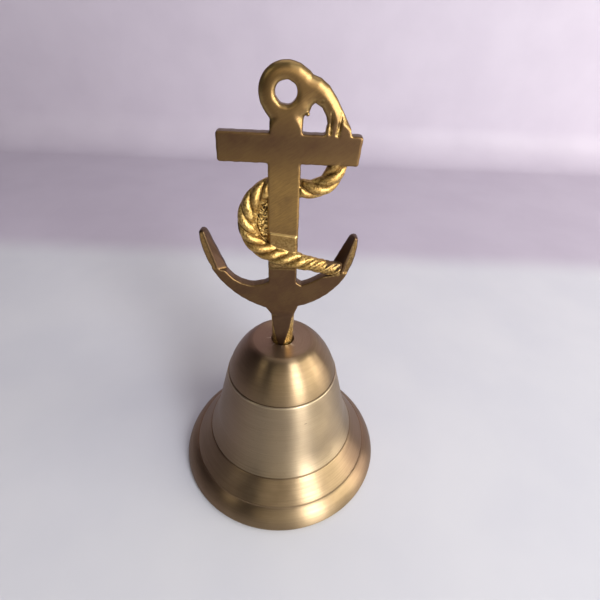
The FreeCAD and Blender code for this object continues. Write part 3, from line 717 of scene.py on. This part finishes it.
def rope_route(points, samples):
    """A smooth run through chosen points, with its length so far and its frame."""
    points = np.array(points, float)
    padded = np.vstack([2 * points[0] - points[1], points, 2 * points[-1] - points[-2]])
    line = []
    for i in range(1, len(padded) - 2):
        before, start, end, after = padded[i - 1:i + 3]
        for share in np.linspace(0, 1, samples, endpoint=False):
            line.append(0.5 * ((2 * start) + (end - before) * share
                               + (2 * before - 5 * start + 4 * end - after) * share ** 2
                               + (3 * start - 3 * end + after - before) * share ** 3))
    line.append(points[-1])
    line = np.array(line)
    step = np.linalg.norm(np.diff(line, axis=0), axis=1)
    along = np.concatenate([[0], np.cumsum(step)])
    count = int(along[-1] / 0.5)
    places = np.linspace(0, along[-1], count)
    line = np.stack([np.interp(places, along, line[:, i]) for i in range(3)], 1)
    tangent = np.gradient(line, axis=0)
    tangent /= np.linalg.norm(tangent, axis=1)[:, None]
    front = np.array((0.0, -1.0, 0.0))
    side = np.cross(tangent, front)
    side /= np.linalg.norm(side, axis=1)[:, None]
    front = np.cross(side, tangent)
    return {"line": line, "along": places, "tangent": tangent, "side": side, "front": front}


# Points (x, y, z) given along the rope; y is its depth, negative in front of the shank.
HOOK = rope_route([(13.2, 1.2, 127.0), (13.6, 1.3, 122.5), (13.6, 1.1, 119.0), (13.0, 0.6, 115.9),
                   (11.1, 0.2, 112.9), (8.0, 0.1, 111.3), (4.4, 0.5, 110.9), (1.0, 1.0, 111.2),
                   (-1.5, 1.2, 111.4)], 12)
LOOP = rope_route([(1.5, 1.2, 111.3), (-1.5, 1.1, 111.5), (-4.2, 0.7, 111.1), (-8.0, 0.0, 108.4),
                   (-10.3, -0.5, 104.5), (-10.7, -0.8, 100.4), (-9.6, -1.2, 96.5), (-7.0, -1.55, 93.4),
                   (-3.0, -1.65, 91.4), (1.0, -1.65, 90.2), (5.0, -1.5, 89.2), (9.0, -1.3, 88.3),
                   (12.5, -1.1, 87.4), (16.6, -0.8, 86.7)], 12)


def hook_relief(along):
    """Strands fade into the smooth face above the stock."""
    return smooth_step(1.0, 6.0, along), np.zeros_like(along)


def loop_relief(along):
    """Broad strands round the loop, then finer ones where the rope meets the fluke."""
    total = LOOP["along"][-1]
    fine = smooth_step(total - 13.0, total - 9.0, along)
    return 1.0 - 0.55 * fine, fine


# Each run: its route, its strands' lead and phase, the hand of its lay and its relief.
RUNS = ((HOOK, 14.0, 0.9, -1, hook_relief), (LOOP, 12.2, 1.9, 1, loop_relief))


def rope_distance(points, run):
    """Signed distance to a run of rope, and how deep in a valley between strands each point is."""
    route, lead, phase, hand, relief = run
    nearest = np.full(len(points), 1e9)
    index = np.zeros(len(points), int)
    for i, centre in enumerate(route["line"]):
        gap = ((points - centre) ** 2).sum(1)
        closer = gap < nearest
        nearest[closer] = gap[closer]
        index[closer] = i
    rest = points - route["line"][index]
    ahead = (rest * route["tangent"][index]).sum(1)
    side = (rest * route["side"][index]).sum(1)
    front = (rest * route["front"][index]).sum(1)
    along = route["along"][index] + ahead
    reach = np.hypot(side, front)
    turn = np.arctan2(front, side)
    broad, fine = relief(along)
    strand = (turn + phase - hand * 2 * math.pi * along / lead) * STRANDS / (2 * math.pi)
    across = 2 * (strand - np.round(strand))
    valley = np.abs(across) ** 2.4
    small = 0.5 - 0.5 * np.cos(2 * math.pi * 2.2 * strand)
    # The mould parts at the rope's sides, so its strands stand out on the front and back only.
    facing = smooth_step(0.05, 0.7, np.abs(front) / np.maximum(reach, 0.2))
    lowered = (STRAND_RELIEF * valley * broad + 0.30 * small * fine) * (0.12 + 0.88 * facing)
    taper = 1.0 - 0.12 * fine
    profile = reach - ROPE_RADIUS * taper + lowered
    past_end = np.maximum(along - route["along"][-1], -along)
    depth = (valley * broad + 0.6 * small * fine) * facing
    return smooth_max(profile, past_end - 0.3, 0.8), depth


def rope_field(points):
    """Both runs of the rope, far away where the points are nowhere near."""
    field = np.full(len(points), 5.0)
    depth = np.zeros(len(points))
    for run in RUNS:
        line = run[0]["line"]
        close = ((points > line.min(0) - 4.0) & (points < line.max(0) + 4.0)).all(1)
        if close.any():
            found, found_depth = rope_distance(points[close], run)
            depth[close] = np.where(found < field[close], found_depth, depth[close])
            field[close] = smooth_min(field[close], found, 0.3)
    return field, depth


def from_ring(x, z):
    """Distance from the middle of the ring's hole."""
    return np.hypot(x - RING_CENTRE[0], z - RING_CENTRE[1])


def line_at(line, z):
    (x0, z0), (x1, z1) = line
    return x0 + (x1 - x0) * (z - z0) / (z1 - z0)


def palm_cut(x, y, z, ridge, back, side):
    """How far a point stands beyond a fluke's slanting palm; positive is cut away."""
    share = np.clip((y + HALF_PLATE) / (2 * HALF_PLATE), 0, 1)
    surface = line_at(ridge, z) * (1 - share) + line_at(back, z) * share
    beyond = (x - surface) * side * 0.85
    floor = 85.4 - z - 0.25 * (x - line_at(ridge, 85.7)) * side
    return -smooth_max(-beyond, floor, 0.5)


def cut_lines(x, y, z):
    """Depth of the lines cut into the head's two faces."""
    depth = 0.0
    for (x0, z0), (x1, z1), width, deep in CUTS:
        dx, dz = x1 - x0, z1 - z0
        share = np.clip(((x - x0) * dx + (z - z0) * dz) / (dx * dx + dz * dz), 0, 1)
        gap = (x - x0 - share * dx) ** 2 + (z - z0 - share * dz) ** 2
        depth = depth + deep * np.exp(-gap / width ** 2)
    return depth * smooth_step(0.5, 1.4, np.abs(y))


def plate_field(x, y, z):
    """The anchor without its rope.  The three arrays may have shapes that broadcast."""
    ring = from_ring(x, z) - RING_RADIUS
    flat = smooth_min(ring, outline_distance(x, z, HEAD), 0.7)
    shank = box_distance(x, z, SHANK[0], SHANK[1], 76.0, 124.0, 0.3)
    right_end = STOCK[1] + 0.08 * (z - STOCK[2])
    stock = box_distance(x, z, STOCK[0], right_end, STOCK[2], STOCK[3], 0.8)
    flat = smooth_min(smooth_min(flat, shank, 0.5), stock, 0.6)
    flat = smooth_min(flat, outline_distance(x, z, ARMS), 0.5)
    # Hand finishing left the outline a little uneven.
    uneven = 0.06 - 0.045 * smooth_step(124.0, 127.0, z)
    flat = flat + uneven * np.sin(1.9 * x + 0.7 * z) * np.cos(1.3 * z - 0.5 * x)
    # The sides lean in a little towards both faces, as a casting's do.
    draft = 0.055 * np.abs(y)
    head = smooth_step(126.0, 129.5, z)
    edge_round = EDGE_ROUND + (HEAD_EDGE_ROUND - EDGE_ROUND) * head
    plate = thicken(flat * (1 - 0.42 * head) + draft, y, HALF_PLATE, edge_round)
    plate = plate + cut_lines(x, y, z)

    # Below the sanded face the shank keeps its casting skin and stands a little proud.
    top = 97.65 - 0.12 * x
    proud = smooth_step(-4.7, -3.9, x) * smooth_step(3.9, 3.1, x) * smooth_step(0.7, 1.5, -y)
    proud = proud * smooth_step(86.2, 87.4, z) * smooth_step(0.45, -0.15, z - top)
    plate = plate - 0.40 * proud

    for ridge, back, side, limit in ((LEFT_RIDGE, LEFT_BACK, 1, 13.0), (RIGHT_RIDGE, RIGHT_BACK, -1, 11.0)):
        cut = smooth_max(plate, palm_cut(x, y, z, ridge, back, side), 0.25)
        plate = np.where((x * side < -limit) & (z < 101.0), cut, plate)
        # The narrow front face beside the palm was never sanded and lies a little lower.
        outside = (line_at(ridge, z) - x) * side
        strip = smooth_step(0.25, 0.6, outside) * smooth_step(85.4, 86.2, z) * smooth_step(0.7, 1.5, -y)
        plate = np.where((x * side < -limit) & (z < 101.0), plate + 0.30 * strip, plate)

    bore = RING_BORE + 0.05 * np.sin(3 * x - z) - from_ring(x, z)
    plate = smooth_max(plate, bore, 1.3)
    spur = np.sqrt((x - 5.1) ** 2 + (y + 0.9) ** 2 + (z - 130.0) ** 2) - 0.5
    plate = smooth_min(plate, spur, 0.3)
    return smooth_min(plate, foot_field(x, y, z), 0.2)


def foot_flat(x, y, z):
    """How far a point stands beyond the foot's ground flats."""
    ground = HALF_PLATE + 0.143 * (69.3 - z) + 0.12 * np.sin(0.45 * (z - 58.0))
    ground = np.maximum(ground, HALF_PLATE)
    lean = -0.12 * (x + 0.3) * smooth_step(70.0, 66.0, z) * (y < 0)
    return np.abs(y) - ground + lean


def foot_field(x, y, z):
    """The foot: a round peg in the crown, whose front and back were ground in to the plate."""
    share = np.clip((z - HANDLE_FOOT) / (69.5 - HANDLE_FOOT), 0, 1)
    half_x = 3.42 + 0.38 * share
    half_y = 3.35 + 0.25 * share
    size = np.sqrt(((x + 0.12) / half_x) ** 2 + (y / half_y) ** 2 + 1e-9)
    body = (size - 1) * half_y
    body = smooth_max(body, z - 70.5, 0.5)
    body = smooth_max(body, HANDLE_FOOT - z, 0.3)
    return smooth_max(body, foot_flat(x, y, z) * 0.97, 0.12)


def web_field(x, y, z):
    """The rough skin of metal left between the rope's loop and the shank."""
    flat = box_distance(x, z, -8.8, -4.0, 93.4, 109.5, 1.0)
    return thicken(flat, y - 0.1, 1.0, 0.3)


def trim_rope(rope, x, y, z):
    """Keeps the rope out of the ring's hole and off the shank's face, which it passes behind."""
    bore = RING_BORE - from_ring(x, z)
    rope = smooth_max(rope, bore, 0.4)
    beside = np.maximum(smooth_step(-4.5, -5.6, x), smooth_step(3.7, 4.8, x))
    behind = -1.35 - 1.6 * np.maximum(beside, smooth_step(106.0, 103.0, z)) - y
    return np.where((z > 103.0) & (z < 116.0), smooth_max(rope, behind, 0.25), rope)


def handle_field(points):
    """Signed distance to the whole handle, with the parts that own each point."""
    x, y, z = points[:, 0], points[:, 1], points[:, 2]
    plate = plate_field(x, y, z)
    rope, valley = rope_field(points)
    web = web_field(x, y, z)
    rope = trim_rope(rope, x, y, z)
    whole = smooth_min(smooth_min(plate, rope, 0.25), web, 0.4)
    return whole, plate, rope, web, valley


def grid_field(low, high, cell):
    """The handle's field on a grid, with the rope worked out only near its line."""
    axes = [np.arange(low[i], high[i] + cell, cell) for i in range(3)]
    x = axes[0][:, None, None]
    y = axes[1][None, :, None]
    z = axes[2][None, None, :]
    plate = plate_field(x, y, z)
    web = web_field(x, y, z)
    rope = np.full(plate.shape, 5.0)
    for run in RUNS:
        close = np.zeros(plate.shape, bool)
        for centre in run[0]["line"][::4]:
            spans = [np.clip(np.searchsorted(axes[i], (centre[i] - 4.5, centre[i] + 4.5)), 0, len(axes[i]))
                     for i in range(3)]
            close[tuple(slice(a, b) for a, b in spans)] = True
        picked = np.argwhere(close)
        points = np.stack([axes[i][picked[:, i]] for i in range(3)], 1)
        rope[close] = smooth_min(rope[close], rope_distance(points, run)[0], 0.3)
    rope = trim_rope(rope, x, y, z)
    return smooth_min(smooth_min(plate, rope, 0.25), web, 0.4)


def surface_net(values, low, cell):
    """Quads over the zero surface of a grid of distances."""
    size = np.array(values.shape) - 1
    inside = values < 0
    mixed = np.zeros(size, bool)
    first = inside[:-1, :-1, :-1]
    corner_slices = [tuple(slice(o, o + n) for o, n in zip(offset, size))
                     for offset in np.ndindex(2, 2, 2)]
    for cut in corner_slices:
        mixed |= inside[cut] != first
    cells = np.argwhere(mixed)
    number = np.full(size, -1, np.int64)
    number[mixed] = np.arange(len(cells))
    total = np.zeros((len(cells), 3))
    count = np.zeros(len(cells))
    for axis in range(3):
        others = [i for i in range(3) if i != axis]
        for a, b in np.ndindex(2, 2):
            start = np.zeros(3, int)
            start[others[0]], start[others[1]] = a, b
            end = start.copy()
            end[axis] = 1
            v0 = values[tuple((cells + start).T)]
            v1 = values[tuple((cells + end).T)]
            crosses = (v0 < 0) != (v1 < 0)
            share = np.where(crosses, v0 / np.where(crosses, v0 - v1, 1), 0)
            spot = (cells + start).astype(float)
            spot[:, axis] += share
            total[crosses] += spot[crosses]
            count[crosses] += 1
    points = np.asarray(low) + cell * total / count[:, None]
    quads = []
    for axis in range(3):
        u, v = (axis + 1) % 3, (axis + 2) % 3
        ahead = [slice(None)] * 3
        behind = [slice(None)] * 3
        ahead[axis], behind[axis] = slice(1, None), slice(None, -1)
        changes = inside[tuple(ahead)] != inside[tuple(behind)]
        edges = np.argwhere(changes)
        edges = edges[(edges[:, u] > 0) & (edges[:, v] > 0)
                      & (edges[:, u] < size[u]) & (edges[:, v] < size[v])]
        step_u, step_v = np.zeros(3, int), np.zeros(3, int)
        step_u[u], step_v[v] = 1, 1
        around = [edges - step_u - step_v, edges - step_v, edges, edges - step_u]
        quad = np.stack([number[tuple(item.T)] for item in around], 1)
        leaves = inside[tuple(edges.T)]
        quad[~leaves] = quad[~leaves][:, ::-1]
        quads.append(quad)
    return points, np.vstack(quads)


def gradient(points, reach=0.05):
    slope = np.zeros_like(points)
    for axis in range(3):
        step = np.zeros(3)
        step[axis] = reach
        slope[:, axis] = handle_field(points + step)[0] - handle_field(points - step)[0]
    return slope / (2 * reach)


def make_handle(material):
    cell = 0.27
    margin = 1.0
    low = np.array(handle_low) - margin
    high = np.array(handle_high) + margin
    points, quads = surface_net(grid_field(low, high, cell), low, cell)
    for _ in range(2):
        value = handle_field(points)[0]
        slope = gradient(points)
        steep = np.maximum((slope ** 2).sum(1), 0.25)
        move = (value / steep)[:, None] * slope
        length = np.linalg.norm(move, axis=1)[:, None]
        points = points - move * np.minimum(1.0, 0.2 / np.maximum(length, 1e-6))
    normal = gradient(points)
    normal /= np.linalg.norm(normal, axis=1)[:, None]
    _, plate, rope, web, valley = handle_field(points)
    x, y, z = points.T

    on_rope = smooth_step(0.25, -0.1, rope - plate) * smooth_step(0.6, 0.1, rope)
    on_web = smooth_step(0.4, 0.0, web) * (1 - on_rope)
    to_front = -normal[:, 1]
    flat_face = smooth_step(0.80, 0.95, np.abs(normal[:, 1]))
    palms = (z < 101.0) * (np.abs(x) > 12.5) * smooth_step(85.2, 86.0, z) * smooth_step(0.9, 0.7, to_front)
    sides = 0.6 * smooth_step(0.55, 0.25, np.abs(normal[:, 1])) * (z > 69.5)
    head = smooth_step(127.0, 129.5, z)
    flank = (0.20 - 0.16 * head) * (1 - flat_face) * (1 - palms)
    in_shank = smooth_step(-5.2, -4.6, x) * smooth_step(4.4, 3.8, x)
    skin = in_shank * smooth_step(85.9, 86.5, z) * smooth_step(0.1, -0.3, z - 97.65 + 0.12 * x) * (y < -1.2)
    strips = 0.0
    for ridge, side in ((LEFT_RIDGE, 1), (RIGHT_RIDGE, -1)):
        outside = (line_at(ridge, z) - x) * side
        strips = strips + smooth_step(0.1, 0.5, outside) * (np.abs(x) > 11) * (z < 101.0)
    strips = strips * smooth_step(85.0, 85.7, z) * smooth_step(0.5, 0.85, to_front)
    on_flat = smooth_step(0.14, 0.05, np.abs(foot_flat(x, y, z)))
    tang = smooth_step(69.4, 67.8, z) * (1 - on_flat)
    stumps = 0.7 * smooth_step(128.6, 126.6, z) * (z > 124.5)
    stumps = stumps * smooth_step(8.8, 9.6, x) * smooth_step(16.8, 16.2, x)
    stumps = stumps * smooth_step(0.97, 0.8, to_front)
    raw = np.maximum.reduce([on_rope, on_web, flank, 0.36 * skin, 0.30 * strips, tang, stumps])
    raw = np.clip(raw, 0, 1)

    # Painted shade: points tucked into crevices, and points in the valleys between the rope's strands, are
    # darkened in the material.
    crevice_shade = np.clip(1 - handle_field(points + normal * 0.7)[0] / 0.7, 0, 1)
    crevice_shade = np.maximum(smooth_step(0.1, 0.8, crevice_shade), smooth_step(0.25, 1.0, valley) * on_rope * 0.85)
    edge = np.clip(1 + handle_field(points - normal * 0.45)[0] / 0.45, 0, 1) * (1 - raw * 0.6)

    grain = Grain(5)
    coarse = grain.at(points + 100, 1.1)
    fine = grain.at(points + 50, 0.55)
    bumps = coarse * 0.5 + fine * 0.5
    rough = 0.09 * raw * (1 - 0.5 * on_rope * (1 - crevice_shade))
    pits = np.minimum(grain.at(points + 30, 0.8) + 0.35 * fine, 0.2) * 0.75 * on_web
    points = points + normal * (bumps * rough + pits)[:, None]
    points = within(points, handle_low, handle_high)
    handle = new_piece("anchor_casting", points, quads, "bell", "anchor_handle", material)
    store(handle, "raw", raw)
    store(handle, "web", on_web)
    tongue = 0.45 * smooth_step(70.2, 68.8, z) * on_flat
    store(handle, "palm", np.maximum.reduce([palms, sides * (1 - on_rope) * (1 - on_web), tongue]))
    store(handle, "crevice_shade", np.clip(crevice_shade, 0, 1))
    # Painted highlight: a bright line along the step at the top of the shank's casting skin.
    step = in_shank * np.exp(-((z - 97.75 + 0.12 * x) / 0.22) ** 2) * (y < -1.2)
    # Painted highlight: a broad bright band over the head's rounded faces.
    rounded = 0.6 * head * smooth_step(0.985, 0.80, np.abs(normal[:, 1]))
    # The edge attribute holds wear on convex edges together with these painted highlights.
    store(handle, "edge", np.maximum.reduce([smooth_step(0.15, 0.6, edge), rounded, 0.9 * step]))
    return handle


# --- Fixings and clapper ---

def skin(rows, closed):
    """Triangles over rows of section points, facing out; an open run of rows is capped at each end."""
    count, sides = rows.shape[:2]
    row, side = np.divmod(np.arange((count if closed else count - 1) * sides), sides)
    next_row, next_side = (row + 1) % count, (side + 1) % sides
    a, b = row * sides + side, row * sides + next_side
    c, d = next_row * sides + next_side, next_row * sides + side
    faces = [np.stack([a, b, c], 1), np.stack([a, c, d], 1)]
    points = rows.reshape(-1, 3)
    if not closed:
        around = np.arange(sides)
        after = (around + 1) % sides
        last = (count - 1) * sides
        first_hub, last_hub = len(points), len(points) + 1
        points = np.vstack([points, rows[0].mean(0), rows[-1].mean(0)])
        faces.append(np.stack([np.full(sides, first_hub), after, around], 1))
        faces.append(np.stack([np.full(sides, last_hub), last + around, last + after], 1))
    faces = np.concatenate(faces)
    first, second, third = (points[faces[:, i]] for i in range(3))
    if (first * np.cross(second, third)).sum() < 0:
        faces = faces[:, ::-1]
    return points, faces


def wire(line, width, sides=24):
    """A round bar along a line of (across, up) points; width gives its radius at each point."""
    line = np.asarray(line, float)
    along = np.gradient(line, axis=0)
    along /= np.linalg.norm(along, axis=1)[:, None]
    turn = 2 * math.pi * np.arange(sides) / sides
    out = width[:, None] * np.cos(turn)
    across = line[:, 0, None] + along[:, 1, None] * out
    up = line[:, 1, None] - along[:, 0, None] * out
    return across, up, width[:, None] * np.sin(turn)


WIRE_STEP = 0.12


def bent_eye(stem_start, stem_end, centre, radius, start, end, step=WIRE_STEP):
    """A straight stem that runs into an open eye, turning from one angle in degrees to the other."""
    degrees = np.linspace(start, end, int(radius * math.radians(abs(end - start)) / step))
    eye = [(radius * math.cos(math.radians(a)), centre + radius * math.sin(math.radians(a))) for a in degrees]
    heights = np.arange(stem_start, stem_end, math.copysign(step, stem_end - stem_start))
    stem = [(0.0, height) for height in heights]
    line = np.array(stem + eye)
    fixed = line.copy()
    for _ in range(60):
        line[1:-1] = (line[:-2] + line[2:]) / 2
        kept = np.abs(np.arange(len(line)) - len(stem)) > 10
        line[kept] = fixed[kept]
    return line


def lathe(section, turns, reshape=None):
    """A closed section of (radius, height) points turned about the bell's axis."""
    section = np.asarray(section, float)
    angle = 2 * math.pi * np.arange(turns)[:, None] / turns
    radius = np.broadcast_to(section[None, :, 0], (turns, len(section)))
    height = np.broadcast_to(section[None, :, 1], radius.shape)
    if reshape:
        radius, height = reshape(radius, height, angle)
    rows = np.stack([radius * np.cos(angle), radius * np.sin(angle), height], -1)
    return skin(rows, True)


def rounded_ring(inner, outer, bottom, top, edge):
    """The section of a flat ring with rounded edges, anticlockwise."""
    points = []
    for x, z, first in ((outer - edge, bottom + edge, -90), (outer - edge, top - edge, 0),
                        (inner + edge, top - edge, 90), (inner + edge, bottom + edge, 180)):
        for degrees in (first, first + 30, first + 60, first + 90):
            turn = math.radians(degrees)
            points.append((x + edge * math.cos(turn), z + edge * math.sin(turn)))
    return points


def make_eye_bolt(material):
    """Bent wire: threaded above the nut, an open eye below it."""
    low, high = box_mm("eye_bolt")
    thread_radius, wire_radius, pitch = high.y, 1.3, 0.5
    stem_end, thread_end = 48.2, 48.9
    eye_start, eye_end = 112, 421
    line = bent_eye(high.z, stem_end, low.z + high.x, high.x - wire_radius, eye_start, eye_end)
    height = line[:, 1]
    threaded = (np.arange(len(line)) < (high.z - thread_end) / WIRE_STEP)
    ridge = np.abs((height / pitch) % 1.0 - 0.5) * 2
    width = np.where(threaded, thread_radius - 0.24 * ridge, wire_radius)
    width = width * np.clip((high.z + 0.3 - height) / 0.8, 0.6, 1.0)
    across, up, depth = wire(line, width)
    points, faces = skin(np.stack([across, depth, up], -1), False)
    points = within(points, low, high)
    return new_piece("bent_eye_bolt", points, faces, "bell", "eye_bolt", material)


def make_washers(material):
    low, high = box_mm("crown_washer")
    points, faces = lathe(rounded_ring(1.6, high.x, low.z, high.z, 0.14), 96)
    new_piece("pressed_washer", points, faces, "bell", "crown_washer", material)

    low, high = box_mm("spring_washer")
    section = np.array(rounded_ring(1.6, -low.x, low.z, high.z, 0.1))
    half_slit = 0.36 / -low.x
    angle = np.linspace(half_slit, 2 * math.pi - half_slit, 90)[:, None]
    rows = np.stack([section[None, :, 0] * np.cos(angle), section[None, :, 0] * np.sin(angle),
                     np.broadcast_to(section[None, :, 1], (90, len(section)))], -1)
    points, faces = skin(rows, False)
    points = within(points, low, high)
    new_piece("split_washer", points, faces, "bell", "spring_washer", material)


def make_nut(material):
    low, high = box_mm("clamp_nut")
    flat, middle, half = high.y, (low.z + high.z) / 2, (high.z - low.z) / 2

    def hexagon(radius, height, angle):
        """Corners pulled out to the hexagon, then turned off at both ends."""
        corner = flat / np.cos((angle + math.pi / 6) % (math.pi / 3) - math.pi / 6)
        turned = flat + 0.08 + (half - np.abs(height - middle)) * 1.5
        return np.where(radius > flat - 0.2, np.minimum(corner, turned), radius), height

    levels = np.concatenate([[0, 0.06, 0.14, 0.24, 0.36], np.linspace(0.6, half, 3)])
    levels = np.concatenate([low.z + levels, high.z - levels[-2::-1]])
    section = [(flat, level) for level in levels]
    section += [(flat - 0.35, high.z), (1.75, high.z), (1.5, high.z - 0.25), (1.5, low.z + 0.25),
                (1.75, low.z), (flat - 0.35, low.z)]
    points, faces = lathe(section, 144, hexagon)
    return new_piece("hexagon_nut", points, faces, "bell", "clamp_nut", material)


def make_link(material):
    """A ring of wire in the plane across the anchor, its joint a little open on one side."""
    low, high = box_mm("clapper_link")
    wire_radius, centre = high.x, (low.z + high.z) / 2
    radius = high.y - wire_radius
    steps, gap_middle, gap = 220, 30.0, 5.0
    angle = np.radians(np.linspace(gap_middle + gap / 2, gap_middle + 360.0 - gap / 2, steps))
    line = np.stack([radius * np.cos(angle), centre + radius * np.sin(angle)], 1)
    ends = np.minimum(np.arange(steps), np.arange(steps)[::-1])
    across, up, depth = wire(line, wire_radius * np.clip(0.8 + ends * 0.1, 0, 1))
    points, faces = skin(np.stack([depth, -across, up], -1), False)
    return new_piece("wire_link", points, faces, "link", "clapper_link", material)


def make_rod(material):
    """The rod, bent from one wire: peened under the ball, an open eye at the top."""
    low, high = box_mm("clapper_rod")
    wire_radius, peen_radius, peen = 1.0, high.y, 1.1
    stem_end = 27.9
    eye_start, eye_end = -62, 251
    line = bent_eye(low.z, stem_end, high.z - high.x, high.x - wire_radius, eye_start, eye_end)
    height = line[:, 1]
    rise = height - low.z
    foot = np.minimum(peen_radius, 1.05 + 1.2 * rise) - 0.5 * np.clip(rise - peen + 0.35, 0, 0.35)
    width = np.where(rise < peen, foot, wire_radius)
    across, up, depth = wire(line, width)
    points, faces = skin(np.stack([across, depth, up], -1), False)
    points = within(points, low, high)
    return new_piece("bent_rod", points, faces, "clapper", "clapper_rod", material)


def make_ball(material):
    """The ball, turned and drilled, with a few dents from striking the bell."""
    low, high = box_mm("clapper_ball")
    radius, centre, bore = high.x, (low.z + high.z) / 2, 1.05
    flat = math.degrees(math.asin((high.z - centre) / radius))
    section = [(radius * math.cos(math.radians(a)), centre + radius * math.sin(math.radians(a)))
               for a in np.linspace(-flat, flat, 90)]
    section += [(bore + 0.12, high.z), (bore, high.z - 0.12), (bore, low.z + 0.12), (bore + 0.12, low.z)]
    points, faces = lathe(section, 160)
    outside = np.hypot(points[:, 0], points[:, 1]) > bore + 0.3
    away = (points - (0, 0, centre)) / radius
    grain = Grain(23)
    dents = np.clip(grain.at(points + 60, 2.1) - 0.45, 0, 1) * 0.35
    dents = dents + np.clip(grain.at(points + 90, 0.8), 0, 1) * 0.03
    points = points - away * (dents * outside)[:, None]
    return new_piece("drilled_ball", points, faces, "clapper", "clapper_ball", material)


# --- Scene ---

make_camera()
make_lights()
make_stage(pale_floor())
make_bell(bell_brass())
make_handle(anchor_brass())
dull = clapper_brass()
steel = plated_steel()
make_link(dull)
make_rod(dull)
make_ball(dull)
make_eye_bolt(steel)
make_washers(steel)
make_nut(steel)
bpy.context.scene.view_settings.view_transform = "Standard"
